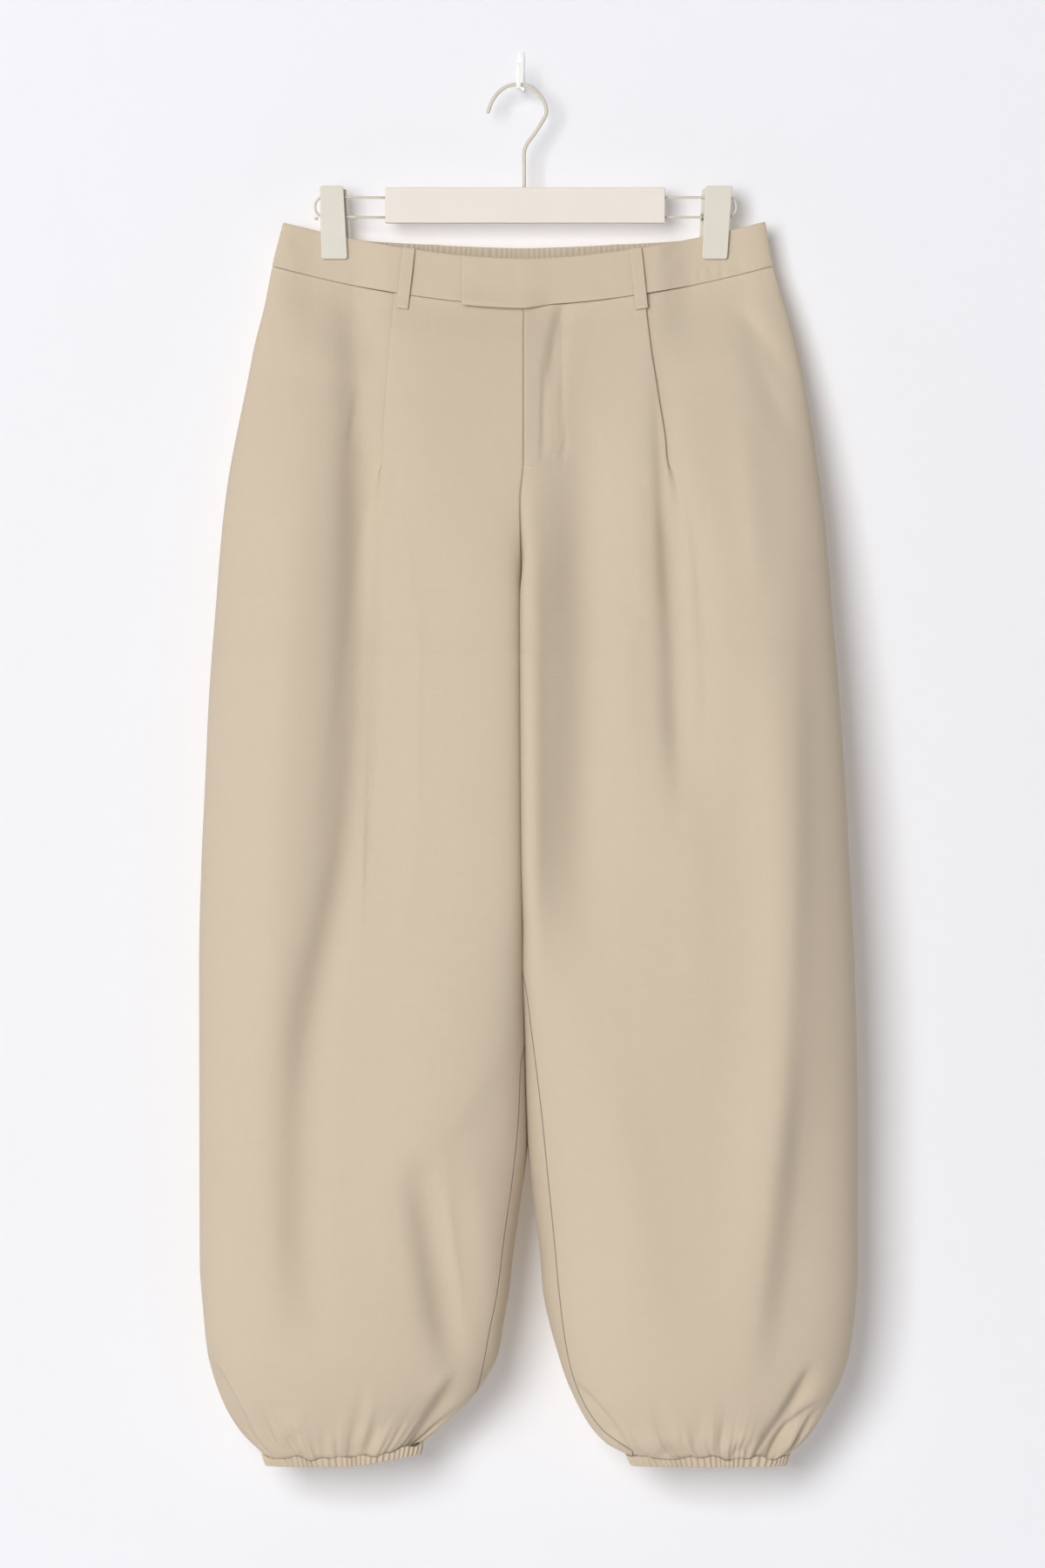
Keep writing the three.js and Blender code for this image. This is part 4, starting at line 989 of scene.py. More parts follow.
def band_wall(stations, height, roll, below=0.0):
    """Points of a doubled band whose edges are rounded on both faces, and its flat lie."""
    back = height - BAND_WALL + np.minimum(roll, BAND_INNER_ROLL)
    outer, inner = wall_points(stations, height - roll, back)
    drop_share = (stations.drop + BAND_HEIGHT) / BAND_HEIGHT
    for points in (outer, inner):
        points[..., 2] -= below * drop_share
    return outer, inner, stations.uv() * (stations.plan.sign, 1)


def band_edges(stations):
    """How far a band's sewn edges turn in."""
    top = seam_roll(stations.drop + BAND_HEIGHT, BAND_ROLL)
    bottom = seam_roll(-SEAM_GAP / 2 - stations.drop, BAND_SEAM_ROLL)
    side = seam_roll(stations.plan.total - stations.lengths, BAND_SEAM_ROLL)
    return np.minimum(BAND_ROLL, top + bottom + side)


def band_places(leg, face, columns, start=SEAM_GAP / 2):
    """Stations of a half band, closer together towards its edges."""
    plan = Plan(leg, face, close_to_edges(-BAND_HEIGHT, -SEAM_GAP / 2, BAND_ROWS))
    last = plan.total - SEAM_GAP / 2
    even = mix(start, last - 1.2, np.linspace(0, 1, columns + 1)[None, :])
    return plan.stations(np.concatenate([even, last - EDGE_STEPS[None, ::-1]], axis=1))


def front_right_band():
    stations = band_places("right", "front", BAND_COLUMNS)
    height = band_relief("right", stations) * smooth(0, 6, stations.lengths)
    wall = band_wall(stations, height, band_edges(stations))
    cloth_piece("band_front_right", "waistband_front_right", wall, (0.218, 0.037))


def tab_lip(stations):
    """The tab's lower edge stands off the panel."""
    return TAB_LIP * np.exp(-((stations.drop / TAB_LIP_HEIGHT) ** 2))


def front_left_band():
    """The left band, and its tab, which laps over the right one."""
    stations = band_places("left", "front", BAND_COLUMNS)
    lapping = 1 - smooth(0, TAB_BLEND, stations.plan.sign * stations.x)
    height = band_relief("left", stations) * smooth(4, 14, stations.lengths)
    height += TAB_LAP * lapping
    height += tab_lip(stations) * lapping
    left = band_wall(stations, height, band_edges(stations), TAB_BELOW_SEAM * lapping)
    plan = Plan("right", "front", stations.plan.drops)
    over = np.linspace(-TAB_END - 2, TAB_OVERLAP, TAB_COLUMNS)
    places = np.concatenate([-TAB_END - EDGE_STEPS, over])
    tab = plan.stations(plan.length_at_reach(places[None, :]))
    out = np.abs(tab.x)
    relief = crease_height(tab.x, tab.drop, BAND_CREASES, BAND_CREASE_ENDS) * 0.8
    x, drop, size = TAB_DIMPLE
    relief -= 0.5 * np.exp(-((tab.x - x) ** 2 + (tab.drop - drop) ** 2) / size)
    relief += 0.25 * np.sin(tab.x / 9) * smooth(0, 8, out)
    roll = seam_roll(tab.drop + BAND_HEIGHT, BAND_ROLL) + seam_roll(-tab.drop, BAND_INNER_ROLL)
    roll = np.minimum(BAND_ROLL, roll + seam_roll(-TAB_END - out, BAND_ROLL))
    height = TAB_LAP + tab_lip(tab) + relief * smooth(0, 4, out)
    right = band_wall(tab, height, roll, TAB_BELOW_SEAM)
    wall = [np.concatenate(pair, axis=1) for pair in zip(right, left)]
    cloth_piece("band_front_left", "waistband_front_left", wall, (0.27, 0.037))


def back_band():
    """The band gathered on elastic, flat where the clips hold it."""
    halves = []
    for leg in LEGS:
        stations = band_places(leg, "back", BACK_BAND_COLUMNS, 0)
        total, lengths = stations.plan.total, stations.lengths
        share = lengths / total
        sway = wobble(50 + len(leg), 5, 2, 6)
        phase = BACK_RUFFLES * share + 0.6 * (sway(share) - sway(0))
        uneven = 0.75 + 0.5 * wobble(52 + len(leg), 6, 5, 15)(share)
        ends = smooth(0, 0.02, share) * (1 - smooth(total - 14, total - 4, lengths))
        nipped = 1 - NIPPED_SHARE * nip_at(np.abs(stations.x), NIP_FULL_DROP)
        height = BACK_RUFFLE_DEPTH * np.sin(2 * math.pi * phase) * uneven * ends * nipped
        slack = 0.5 * wobble(54, 5, 3, 9)(share) * ends * nipped
        height += slack * (stations.drop / BAND_HEIGHT + 1)
        halves.append(band_wall(stations, height, band_edges(stations)))
    wall = [np.concatenate([r[:, :0:-1], l], axis=1) for r, l in zip(*halves)]
    cloth_piece("band_back", "waistband_back", wall, (0.56, 0.037), "gathered")


# Elastic hem casings
CASING_COLUMNS = 300
CASING_WALL = 1.6
CASING_RUFFLE = 1.15
CASING_ROWS = 7
CASING_ROLL, CASING_SEAM_ROLL, CASING_INNER_ROLL = 0.7, 0.4, 0.6
CASING_STRETCH = 1.3  # how much longer its cloth is than the way round the hem


def hem_casing(leg):
    """The elastic's casing round a hem, ruffled like the gathers above it."""
    drops = close_to_edges(HEM_DROP + SEAM_GAP / 2, HEM_DROP + CASING_HEIGHT, CASING_ROWS)
    rings = []
    for face in FACES:
        plan = Plan(leg, face, drops)
        share = np.linspace(0, 1, CASING_COLUMNS, endpoint=False)[None, :]
        if face == "back":
            share = 1 - share
        stations = plan.stations(plan.total * share)
        across = (stations.drop - HEM_DROP) / CASING_HEIGHT
        barrel = 0.6 * np.sin(math.pi * across) - 0.4 * across
        height = ruffle_wave(leg, face, share) * CASING_RUFFLE + barrel
        roll = seam_roll(HEM_DROP + CASING_HEIGHT - stations.drop, CASING_ROLL)
        roll = roll + seam_roll(stations.drop - HEM_DROP, CASING_SEAM_ROLL)
        back = height - CASING_WALL + np.minimum(roll, CASING_INNER_ROLL)
        outer, inner = wall_points(stations, height - roll, back)
        hang = hem_hang(leg, face, share) * (1 - across)
        outer[..., 2] -= hang
        inner[..., 2] -= hang
        around = stations.lengths if face == "front" else 2 * plan.total - stations.lengths
        rings.append((outer, inner, np.stack([around * CASING_STRETCH, -stations.drop], axis=-1)))
    wall = [np.concatenate(pair, axis=1) for pair in zip(*rings)]
    cloth_piece(f"casing_{leg}", f"hem_casing_{leg}", wall, (0.42, 0.0115), "gathered", ring=True)


# Belt loops
LOOPS = {
    "front_right": ("right", "front", -88.8, -94.2),
    "front_left": ("left", "front", 88.2, 93.2),
    "back_right": ("right", "back", -68.7, -70),
    "back_left": ("left", "back", 72.8, 74),
}
LOOP_TAIL = 11.5
LOOP_WIDTH = 9.6
LOOP_WALL = 1.6
LOOP_BOW = 1.2
LOOP_STITCH_INSET = 1.2
LOOP_STITCH_SINK = 0.22
LOOP_TACK_BELOW = 0.6
LOOP_ABOVE = 0.4
LOOP_ROLL, LOOP_MOST_ROLL, LOOP_INNER_ROLL = 0.7, 0.75, 0.6
LOOP_GROOVE, LOOP_GROOVE_WIDTH = 0.28, 0.35
LOOP_ROWS, LOOP_TACK_SIZE = 26, (7.4, 1.3)
SEAT_GATHER = 0.9


def loop_places(name, across, drops):
    """Stations of a belt loop, and how far it stands off; across runs from -1 to 1."""
    leg, face, top_x, bottom_x = LOOPS[name]
    plan = Plan(leg, face, drops)
    share = (plan.drops + BAND_HEIGHT)[:, None] / (LOOP_TAIL + BAND_HEIGHT)
    x = mix(top_x, bottom_x, share) + across[None, :] * LOOP_WIDTH / 2
    stations = plan.stations(plan.length_at_reach(plan.sign * x))
    clear = LAP_GAP + (SEAT_GATHER if face == "back" else 0)
    return stations, clear + LOOP_BOW * np.sin(math.pi * np.clip(share * 1.15, 0, 1)) ** 0.8


def belt_loop(name):
    """A strip that bows off the band, with a groove where it is stitched."""
    drops = close_to_edges(-BAND_HEIGHT - LOOP_ABOVE, LOOP_TAIL, LOOP_ROWS)
    edges = np.array([-1, -0.975, -0.93])
    across = np.concatenate([edges, np.linspace(-0.85, 0.85, 15), -edges[::-1]])
    stations, lift = loop_places(name, across, drops)
    edge = (1 - np.abs(across))[None, :] * LOOP_WIDTH / 2
    top, tail = (drops + BAND_HEIGHT + LOOP_ABOVE)[:, None], (LOOP_TAIL - drops)[:, None]
    roll = seam_roll(edge, LOOP_ROLL) + seam_roll(top, LOOP_ROLL)
    roll = np.minimum(LOOP_MOST_ROLL, roll + seam_roll(tail, LOOP_ROLL))
    groove = LOOP_GROOVE * np.exp(-(((edge - LOOP_STITCH_INSET) / LOOP_GROOVE_WIDTH) ** 2))
    out = lift + LOOP_WALL - roll - groove
    outer, inner = wall_points(stations, out, lift + np.minimum(roll, LOOP_INNER_ROLL))
    flat = np.broadcast_arrays(across[None, :] * LOOP_WIDTH / 2, -drops[:, None])
    wall = outer, inner, np.stack(flat, axis=-1)
    cloth_piece(f"loop_{name}", f"belt_loop_{name}", wall, (0.01, 0.05))


# Fly facing
FACING_DEPTH = 1.75
FACING_WALL = 0.9
FACING_EDGE = 1.6
FACING_TIP = 7
FACING_TOP, FACING_BOTTOM = 2, 124
FACING_CURL_START = 96
FLY_BOTTOM = 127


def fly_facing():
    """The facing behind the fly, whose lower end curls in to the centre."""
    drops = np.linspace(FACING_TOP, FACING_BOTTOM, 60)
    plan = Plan("left", "front", drops)
    curl = np.clip((drops - FACING_CURL_START) / (FLY_BOTTOM - FACING_CURL_START), 0, 1)
    width = mix(FACING_TIP, FLY_WIDTH, np.sqrt(1 - curl**2))[:, None]
    reach = mix(FACING_EDGE, width, np.linspace(0, 1, 16)[None, :])
    stations = plan.stations(plan.length_at_reach(reach))
    share = stations.lengths / plan.total
    height = cloth_relief("left", "front", stations, share) - FACING_DEPTH
    wall = *wall_points(stations, height, height - FACING_WALL), stations.uv()
    cloth_piece("facing", "fly_facing", wall, (0.034, 0.128), rests_on=("front_left",))


# Meshes put together from parts
class Parts:
    """Vertices and faces of several closed forms that make one object."""

    def __init__(self):
        self.vertices, self.faces = [], []

    def take(self, vertices, faces):
        base = len(self.vertices)
        self.vertices.extend(np.asarray(vertices, float).tolist())
        self.faces.extend([tuple(base + corner for corner in face) for face in faces])

    def bar(self, path, section, start=(), end=(), depth=1.0, up=(0, 1, 0)):
        self.take(*sweep(path, section, start, end, depth, up))

    def made(self, name, material, node=None, slot=None):
        piece = mesh_object(name, self.vertices, self.faces, material)
        if node:
            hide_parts(node)
        return piece


def ring_faces(rings, sides):
    """Quads between rings of points, and a face over each end."""
    faces = []
    for j in range(rings - 1):
        for i in range(sides):
            after = (i + 1) % sides
            faces.append((j * sides + i, j * sides + after, (j + 1) * sides + after,
                          (j + 1) * sides + i))
    faces.append(tuple(range(sides))[::-1])
    faces.append(tuple((rings - 1) * sides + i for i in range(sides)))
    return faces


ROUND_END = [(math.cos(a), math.sin(a)) for a in (0.25, 0.65, 1.1)]


def sweep(path, section, start=(), end=(), depth=1.0, up=(0, 1, 0)):
    """A closed bar of a section along a path. start and end list how rings shrink there."""
    path = np.asarray(path, float)
    tangent = np.gradient(path, axis=0)
    tangent /= np.linalg.norm(tangent, axis=1)[:, None]
    up = np.asarray(up, float)
    across = np.cross(tangent, up)
    across /= np.linalg.norm(across, axis=1)[:, None]
    above = np.cross(across, tangent)
    section = np.asarray(section, float)
    rings = []

    def ring(k, shift, scale):
        centre = path[k] + shift * tangent[k]
        rings.append(centre + scale * (section[:, :1] * across[k] + section[:, 1:] * above[k]))

    for out, scale in start:
        ring(0, -out * depth, scale)
    for k in range(len(path)):
        ring(k, 0, 1)
    for out, scale in end[::-1]:
        ring(-1, out * depth, scale)
    return np.concatenate(rings), ring_faces(len(rings), len(section))


def at_depth(x, y, z):
    """Points whose y is the same."""
    return np.stack([x, np.full(len(x), y), z], axis=1)


def circle(radius, sides):
    """A round section."""
    angle = 2 * math.pi * np.arange(sides) / sides
    return np.stack([radius * np.cos(angle), radius * np.sin(angle)], axis=1)


def rounded_box(width, height, radius, steps=3):
    """A rectangle with rounded corners, as a section."""
    points = []
    for quarter, (sx, sy) in enumerate(((1, 1), (-1, 1), (-1, -1), (1, -1))):
        for k in range(steps + 1):
            angle = math.pi / 2 * (quarter + k / steps)
            points.append((sx * (width / 2 - radius) + radius * math.cos(angle),
                           sy * (height / 2 - radius) + radius * math.sin(angle)))
    return np.array(points)


def through(points, steps):
    """A centripetal Catmull-Rom curve through points."""
    p = np.asarray(points, float)
    p = np.concatenate([[2 * p[0] - p[1]], p, [2 * p[-1] - p[-2]]])
    made = []
    for i in range(1, len(p) - 2):
        rows = p[i - 1 : i + 3]
        spans = np.sqrt(np.linalg.norm(np.diff(rows, axis=0), axis=1))
        knots = np.concatenate([[0], np.cumsum(spans)])
        t = np.linspace(knots[1], knots[2], steps, endpoint=False)[:, None]
        for width in (1, 2, 3):
            rows = [blended(rows, knots, t, k, width) for k in range(4 - width)]
        made.append(rows[0])
    made.append(p[-2][None, :])
    return np.concatenate(made)


def blended(rows, knots, t, k, width):
    """One level of a Catmull-Rom curve: two neighbours blended between two knots."""
    a, b = (knots[1], knots[2]) if width == 3 else (knots[k], knots[k + width])
    return ((b - t) * rows[k] + (t - a) * rows[k + 1]) / (b - a)


# Sewing thread: how far a stitch sinks at its ends and stands proud at its middle
STITCH_LENGTH = 2.2
STITCH_SPACING = 2.9
THREAD_RADIUS = 0.17
STITCH_PLACES = np.array([-1, -0.55, 0, 0.55, 1]) * STITCH_LENGTH / 2
STITCH_LIFT = np.array([-0.2, 0.06, 0.12, 0.06, -0.2])
TACK_SPACING, TACK_RADIUS = 0.5, 0.24
SEAM_STITCH_DROP = 1.1
SEAM_STITCH_BREAK = 60  # the column at which a waist seam's stitching starts anew
ACROSS, DOWN = np.array([1.0, 0, 0]), np.array([0, 0, -1.0])


def stitch(parts, centre, along, outward, length=STITCH_LENGTH, radius=THREAD_RADIUS):
    """One stitch, sunk into the cloth at both ends."""
    outward = outward / np.linalg.norm(outward)
    along = along / np.linalg.norm(along)
    places = STITCH_PLACES[:, None] * length / STITCH_LENGTH
    path = centre + places * along + STITCH_LIFT[:, None] * outward
    parts.bar(path, circle(radius, 6), up=outward)


def stitch_line(parts, points, outward):
    """Stitches spaced along a line of points on the cloth."""
    steps = np.linalg.norm(np.diff(points, axis=0), axis=1)
    at = np.concatenate([[0], np.cumsum(steps)])
    count = int(at[-1] / STITCH_SPACING)

    def read(values, w):
        return np.array([np.interp(w, at, values[:, k]) for k in range(3)])

    for w in (np.arange(count) + 0.5) * at[-1] / count:
        along = read(points, w + 0.8) - read(points, w - 0.8)
        stitch(parts, read(points, w), along, read(outward, w))


def bar_tack(parts, centre, outward, width, height):
    """A short bar of close upright stitches."""
    count = int(width / TACK_SPACING)
    for k in range(count):
        shift = (k / (count - 1) - 0.5) * width
        stitch(parts, centre + shift * ACROSS, DOWN, outward, height, TACK_RADIUS)


FLY_STITCHES = table(
    "x level",
    (31.1, 9), (31.1, 40), (31.1, 75), (31, 98), (29.2, 109), (25, 118.5), (19.5, 124.5),
    (13.6, 127), (8.5, 127.4),
)
FLY_TACK, FLY_TACK_SIZE = (4.3, 127.2), (7, 1.6)
FLY_RISE = 1.2  # how much higher the cloth stands there than its drop says


def fly_stitches():
    """The J of stitches beside the fly, and the tack at its foot."""
    parts = Parts()
    share = np.linspace(0, 1, 120)
    knots = np.linspace(0, 1, len(FLY_STITCHES["x"]))
    x, level = (np.interp(share, knots, FLY_STITCHES[name]) for name in ("x", "level"))
    places = [on_cloth("front", "left", *place) for place in zip(x, level + FLY_RISE)]
    points, outward = (np.array(values) for values in zip(*places))
    stitch_line(parts, points, outward)
    centre, out = on_cloth("front", "left", *FLY_TACK)
    bar_tack(parts, centre, out, *FLY_TACK_SIZE)
    parts.made("stitches_fly", THREAD, slot="cloth")


def seam_stitches():
    """A dotted line just below the waist seam, which leaves out the pleats and the tab."""
    parts = Parts()
    pleat = FRONT_COLUMNS[0]
    for (face, leg), placed in PANELS.items():
        row = int(np.searchsorted(placed.plan.drops, SEAM_STITCH_DROP))
        points, normal = placed.points()[row], placed.normals()[row]
        column = np.arange(len(points))
        keep = column >= 0
        if face == "front":
            reach = placed.plan.sign * placed.x[row]
            past = (column > pleat + 12) & (reach > reach[pleat - 1] + 4)
            keep = (column < pleat) | past
            if leg == "right":
                keep &= placed.x[row] < TAB_END - 1
        for part in (column < SEAM_STITCH_BREAK, column >= SEAM_STITCH_BREAK):
            side = keep & part
            if side.sum() > 3:
                stitch_line(parts, points[side], normal[side])
    parts.made("stitches_waist_seam", THREAD, slot="cloth")


def loop_stitches():
    """Two lines of stitches down each belt loop, and the tack below them."""
    parts = Parts()
    drops = np.linspace(-BAND_HEIGHT + 1.5, LOOP_TAIL - 2.5, 24)
    inset = 1 - LOOP_STITCH_INSET / (LOOP_WIDTH / 2)
    for name in LOOPS:
        stations, lift = loop_places(name, np.array([-inset, 0, inset]), drops)
        points = stations.moved(0, lift + LOOP_WALL - LOOP_STITCH_SINK).points()
        normal = stations.normals()
        for column in (0, 2):
            stitch_line(parts, points[:, column], normal[:, column])
        low = stations.moved(0, lift + LOOP_WALL).points()[-1, 1] + LOOP_TACK_BELOW * DOWN
        bar_tack(parts, low, normal[-1, 1], *LOOP_TACK_SIZE)
    parts.made("stitches_loops", THREAD, slot="cloth")


# Hanger
HANGER_Y = -24
HOOK_RADIUS = 1.5
HOOK_PATH = table(
    "x z",
    (-26.9, -33.3), (-23.5, -24.5), (-18.4, -17.7), (-10.9, -12.9), (-1.4, -11.9), (7.5, -14.6),
    (14.3, -21.1), (18.4, -29.2), (18.4, -35.4), (16, -40.1), (9.5, -50.3), (3.1, -59.2),
    (1.4, -64.6), (1.4, -76), (1.4, -92.6),
)
ARM_RADIUS = 1
ARM_TOP, ARM_BOTTOM = -100.3, -115.7
ARM_LEAN = 0.4
ARM_BEND_SHARE = 0.8
ARMS = {"right": (107.4, 162.2), "left": (111.5, 167.3)}
CLIPS = {"right": (140.2, 158.4, 136.8, 157.4), "left": (142.9, 164.2, 140.4, 160.1)}
JAW_TOP, JAW_BOTTOM, JAW_THICKNESS = -91.3, -148.6, 3
JAW_GAP = NIP_HALF_DEPTH + 0.3
BACK_JAW_SHIFT, BACK_JAW_DROP = 2.6, 2
SPRING_Z = -108
PLATE_RADIUS, PLATE_BEVEL, PLATE_STEPS = 2.2, 0.6, 6


def hanger_hook():
    """The wire hook, rounded at its free end."""
    x, z = HOOK_PATH.values()
    path = through(at_depth(x, HANGER_Y, z), 9)
    parts = Parts()
    parts.bar(path, circle(HOOK_RADIUS, 18), ROUND_END, depth=HOOK_RADIUS)
    parts.made("hook", WIRE, "hanger_hook", "wire")


def hanger_wire(leg):
    """A U-shaped wire arm, with the sleeve, ball or washer on it."""
    start, end = ARMS[leg]
    middle, half = (ARM_TOP + ARM_BOTTOM) / 2, (ARM_TOP - ARM_BOTTOM) / 2
    swell = half * ARM_BEND_SHARE
    angle = math.pi * (0.5 - np.linspace(0, 1, 29))
    bend = np.stack([end - swell + swell * np.cos(angle), middle + half * np.sin(angle)], axis=1)
    straight = np.linspace(start, bend[0, 0], 8)[:-1]
    top = np.stack([straight, np.full(7, ARM_TOP)], axis=1)
    bottom = np.stack([straight[::-1], np.full(7, ARM_BOTTOM)], axis=1)
    reach, z = np.concatenate([top, bend, bottom]).T
    z = z + ARM_LEAN * (reach - start) / (end - start)
    path = at_depth(SIGN[leg] * reach, HANGER_Y, z)
    parts = Parts()
    parts.bar(path, circle(ARM_RADIUS, 14))
    low = ARM_BOTTOM + ARM_LEAN / 2
    if leg == "right":
        sleeve = [(x, HANGER_Y, low) for x in (-136, -135.6, -130, -129.4)]
        parts.bar(sleeve, circle(1.55, 14), [(0.2, 0.85)], [(0.2, 0.85)])
        ball = [(-161.2 + 1.3 * t, HANGER_Y, low - 1.2) for t in (-0.3, 0, 0.3)]
        parts.bar(ball, circle(1.3, 14), ROUND_END, ROUND_END, depth=1.2)
    else:
        washer = [(x, HANGER_Y, low) for x in (139.3, 139.7, 140.1)]
        parts.bar(washer, circle(2.7, 20), [(0.15, 0.92)], [(0.15, 0.92)])
    parts.made(f"wire_{leg}", WIRE, f"hanger_wire_{leg}", "wire")


def plate(corners, front_y, back_y):
    """A flat plate facing -Y with rounded corners and rounded edges."""
    corners = [np.array(c, float) for c in corners]

    def outline(inset):
        points = []
        for i, corner in enumerate(corners):
            before, after = corners[i - 1], corners[(i + 1) % len(corners)]
            a = (before - corner) / np.linalg.norm(before - corner)
            b = (after - corner) / np.linalg.norm(after - corner)
            half = math.acos(np.clip(a @ b, -1, 1)) / 2
            middle = (a + b) / np.linalg.norm(a + b)
            centre = corner + middle * PLATE_RADIUS / math.sin(half)
            foot_a, foot_b = (corner + way * PLATE_RADIUS / math.tan(half) for way in (a, b))
            first = math.atan2(*(foot_a - centre)[::-1])
            turn = math.atan2(*(foot_b - centre)[::-1]) - first
            turn = (turn + math.pi) % (2 * math.pi) - math.pi
            for k in range(PLATE_STEPS + 1):
                angle = first + turn * k / PLATE_STEPS
                way = np.array([math.cos(angle), math.sin(angle)])
                points.append(centre + (PLATE_RADIUS - inset) * way)
        return np.array(points)

    edge = [(PLATE_BEVEL + 0.35, 0)]
    for a in (0, 0.5, 1, 1.35, 1.57):
        edge.append((PLATE_BEVEL * (1 - math.sin(a)), PLATE_BEVEL * (1 - math.cos(a))))
    rings = [(inset, front_y + deep) for inset, deep in edge]
    rings += [(inset, back_y - deep) for inset, deep in edge[::-1]]
    vertices = []
    for inset, y in rings:
        x, z = outline(inset).T
        vertices.append(at_depth(x, y, z))
    return np.concatenate(vertices), ring_faces(len(rings), len(x))


def clip(leg):
    """A clip's two jaws, and its pin, coil and lugs."""
    top_in, top_out, bottom_in, bottom_out = CLIPS[leg]
    sign = SIGN[leg]
    fronts = HANGER_Y - JAW_GAP - JAW_THICKNESS, HANGER_Y + JAW_GAP
    for side, near, shift, lower in zip(FACES, fronts, (0, BACK_JAW_SHIFT), (0, BACK_JAW_DROP)):
        top = JAW_TOP - lower
        ends = (bottom_in, JAW_BOTTOM), (bottom_out, JAW_BOTTOM), (top_out, top), (top_in, top)
        corners = [(sign * (x - shift), z) for x, z in ends]
        parts = Parts()
        parts.take(*plate(corners, near, near + JAW_THICKNESS))
        parts.made(f"jaw_{side}_{leg}", CLIP, f"clip_{side}_{leg}", "clip")
    centre = sign * (top_in + top_out) / 2
    parts = Parts()
    pin = [(centre + x, HANGER_Y, SPRING_Z) for x in (-5.6, -2, 2, 5.6)]
    parts.bar(pin, circle(0.8, 12), [(0.2, 0.8)], [(0.2, 0.8)])
    turn = np.linspace(0, 7, 7 * 14 + 1)
    coil = np.stack([centre - 3.6 + 7.2 * turn / 7, HANGER_Y + 1.5 * np.cos(2 * math.pi * turn),
                     SPRING_Z + 1.5 * np.sin(2 * math.pi * turn)], axis=1)
    parts.bar(coil, circle(0.36, 8), ROUND_END, ROUND_END, depth=0.36, up=(1, 0, 0))
    for x in (-4.9, 4.9):
        lug = [(centre + x, HANGER_Y + y, SPRING_Z) for y in (-1.95, 0, 1.95)]
        parts.bar(lug, rounded_box(1.1, 8.5, 0.4), up=(0, 0, 1))
    parts.made(f"spring_{leg}", CLIP, f"clip_spring_{leg}", "clip")


# Wall hook
HOOK_STRIP = (3.6, 1.8)
HOOK_STRIP_BEND = 1.9
HOOK_STRIP_DEPTH = 28.2
HOOK_STRIP_LEAN = 2.4
HOOK_STRIP_X = -0.6
HOOK_TOP, HOOK_SADDLE, HOOK_PRONG_TOP = 15, -14.6, 5


def wall_hook():
    """A flat strip bent to a J, which leans towards the viewer's right."""
    half = HOOK_STRIP[1] / 2
    back, front = -half, -HOOK_STRIP_DEPTH + half
    r = HOOK_STRIP_BEND
    angle = np.linspace(0, math.pi / 2, 9)
    turn_z = HOOK_SADDLE + r
    sides = (
        (np.full(6, back), np.linspace(HOOK_TOP - 0.3, turn_z, 6)),
        (back - r + r * np.cos(angle[1:]), turn_z - r * np.sin(angle[1:])),
        (np.linspace(back - r, front + r, 7)[1:], np.full(6, HOOK_SADDLE)),
        (front + r - r * np.sin(angle[1:]), turn_z - r * np.cos(angle[1:])),
        (np.full(4, front), np.linspace(turn_z, HOOK_PRONG_TOP - 0.3, 5)[1:]),
    )
    y, z = np.concatenate(sides, axis=1)
    points = np.stack([np.zeros(len(y)), y, z], axis=1)
    section = rounded_box(HOOK_STRIP[1], HOOK_STRIP[0], 0.4)
    vertices, faces = sweep(points, section, [(0.3, 0.8)], [(0.3, 0.8)], up=(1, 0, 0))
    vertices[:, 0] += HOOK_STRIP_X + HOOK_STRIP_LEAN * vertices[:, 1] / HOOK_STRIP_DEPTH
    parts = Parts()
    parts.take(vertices, faces)
    parts.made("wall_hook_strip", WHITE, "wall_hook", "hook_paint")


front_right_band()
front_left_band()
back_band()
for leg in LEGS:
    hem_casing(leg)
    hanger_wire(leg)
    clip(leg)
for name in LOOPS:
    belt_loop(name)
fly_facing()
fly_stitches()
seam_stitches()
loop_stitches()
hanger_hook()
wall_hook()
for slot in bpy.data.objects["hanger_bar"].material_slots:
    slot.material = BOARD


# Stage, light and camera, in metres
CAMERA_DISTANCE = 8.0
PHOTO_HEIGHT = 1.224
PHOTO_MIDDLE_Z = -0.559
SCALE_PLANE_Y = -0.04
SENSOR = 36
WALL_Y, WALL_HALF_WIDTH, WALL_TOP = 0.0005, 3, 1.6
FLOOR_Z, FLOOR_HALF_WIDTH = -1.36, 20
LIGHT_AIM = (0, 0, -0.6)
KEY_PLACE, BACK_LIGHT_PLACE = (-3.45, -9.2, 1.4), (0.7, 3.8, 0.2)
WORLD_COLOUR, WORLD_STRENGTH = (0.93, 0.94, 0.97, 1), 0.29


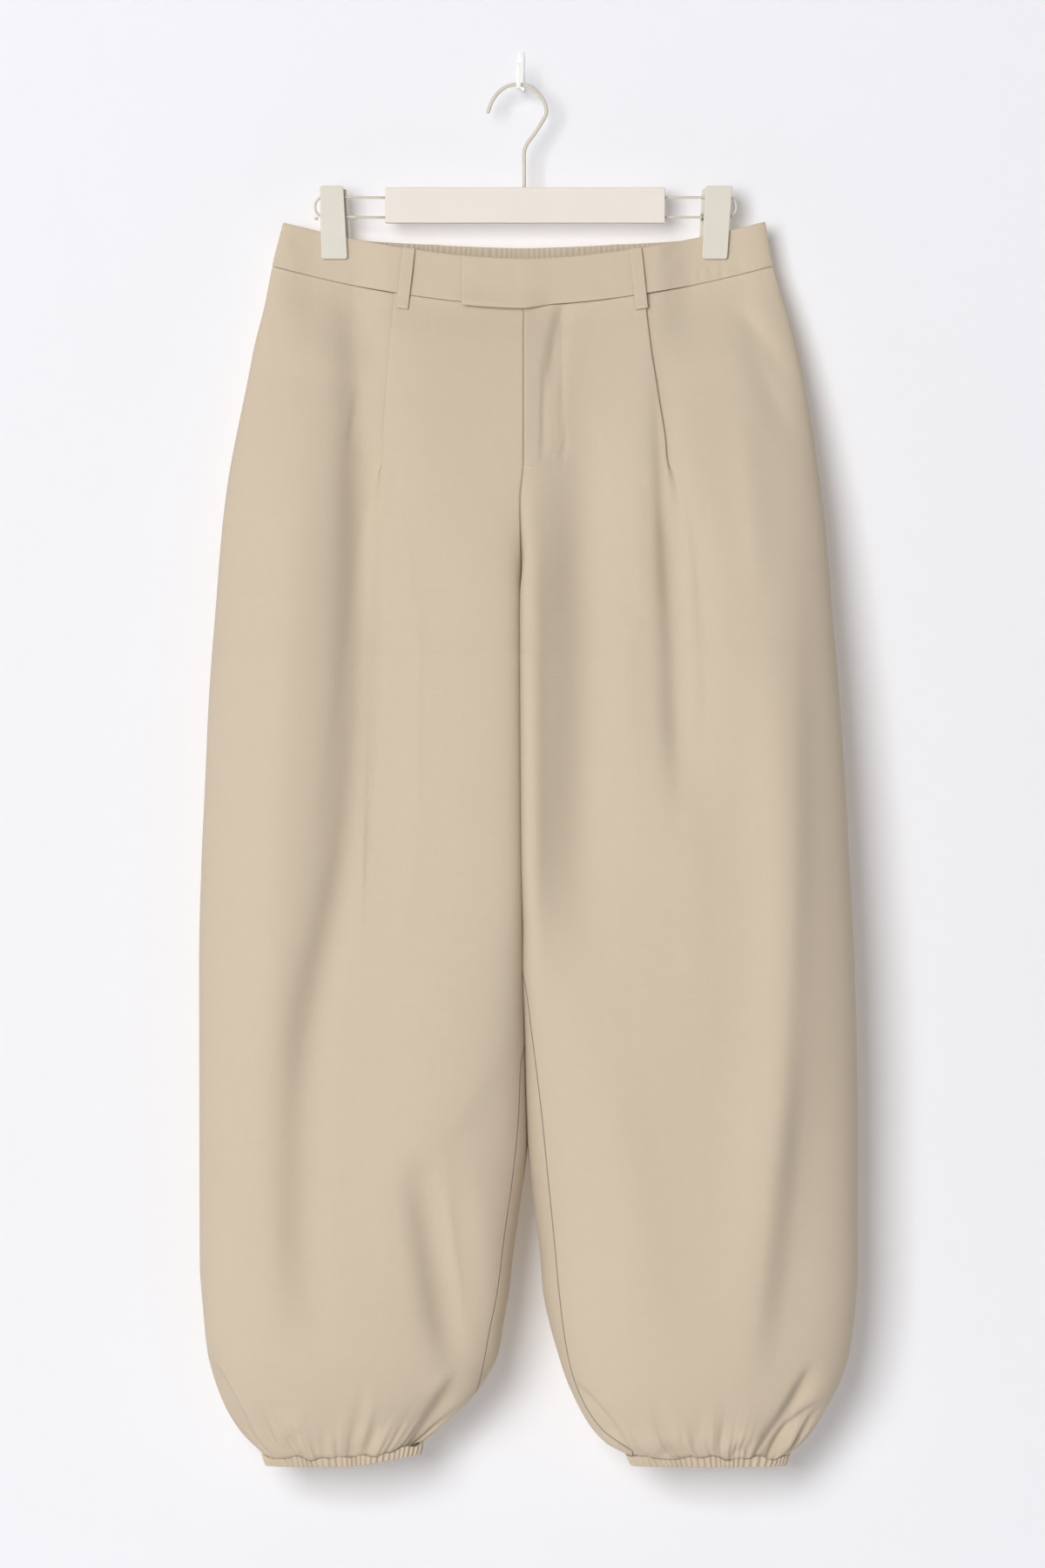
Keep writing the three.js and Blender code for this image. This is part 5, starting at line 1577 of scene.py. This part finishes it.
def stage_plane(name, corners, colour):
    """A matte plane that is clear from behind, for the views from there."""
    mesh = bpy.data.meshes.new(name)
    mesh.from_pydata(corners, [], [(0, 1, 2, 3)])
    made = linked(name, mesh)
    s = Shader(name)
    s.put(s.principled, "Base Color", (*colour, 1))
    s.put(s.principled, "Roughness", 0.9)
    s.put(s.principled, "Specular IOR Level", 0.1)
    behind = s.add("ShaderNodeNewGeometry").outputs["Backfacing"]
    clear = s.add("ShaderNodeBsdfTransparent").outputs[0]
    choice = s.add("ShaderNodeMixShader")
    for key, value in enumerate((behind, s.principled.outputs[0], clear)):
        s.put(choice, key, value)
    s.tree.links.new(choice.outputs[0], s.tree.nodes["Material Output"].inputs["Surface"])
    mesh.materials.append(s.material)
    return made


def stage():
    """The wall and the floor."""
    x, z, wide = WALL_HALF_WIDTH, FLOOR_Z, FLOOR_HALF_WIDTH
    corners = [(-x, WALL_Y, z), (x, WALL_Y, z), (x, WALL_Y, WALL_TOP), (-x, WALL_Y, WALL_TOP)]
    wall = stage_plane("wall", corners, (0.83, 0.83, 0.855))
    wall.visible_shadow = False
    corners = [(-wide, -wide, z), (wide, -wide, z), (wide, wide, z), (-wide, wide, z)]
    stage_plane("floor", corners, (0.8, 0.8, 0.8))


def area_light(name, place, size, energy):
    """A square light that faces the trousers."""
    data = bpy.data.lights.new(name, "AREA")
    data.shape = "RECTANGLE"
    data.size = data.size_y = size
    data.energy = energy
    made = linked(name, data)
    made.location = place
    made.rotation_mode = "QUATERNION"
    made.rotation_quaternion = (Vector(LIGHT_AIM) - Vector(place)).to_track_quat("-Z", "Y")


def lights():
    """A key light, a faint light behind the wall and the room's own light."""
    area_light("key", KEY_PLACE, 4.8, 735)
    area_light("back", BACK_LIGHT_PLACE, 1.2, 90)
    world = bpy.context.scene.world or bpy.data.worlds.new("studio")
    bpy.context.scene.world = world
    world.use_nodes = True
    background = world.node_tree.nodes["Background"]
    background.inputs["Color"].default_value = WORLD_COLOUR
    background.inputs["Strength"].default_value = WORLD_STRENGTH


def camera():
    """A camera far off, level with the middle of the photo."""
    data = bpy.data.cameras.new("camera")
    made = linked("camera", data)
    data.sensor_width = SENSOR
    data.lens = SENSOR * (CAMERA_DISTANCE + SCALE_PLANE_Y) / PHOTO_HEIGHT
    made.location = (0, -CAMERA_DISTANCE, PHOTO_MIDDLE_Z)
    made.rotation_euler = (math.pi / 2, 0, 0)
    data.clip_end = 60
    bpy.context.scene.camera = made


stage()
lights()
camera()
bpy.context.scene.view_settings.view_transform = "Standard"
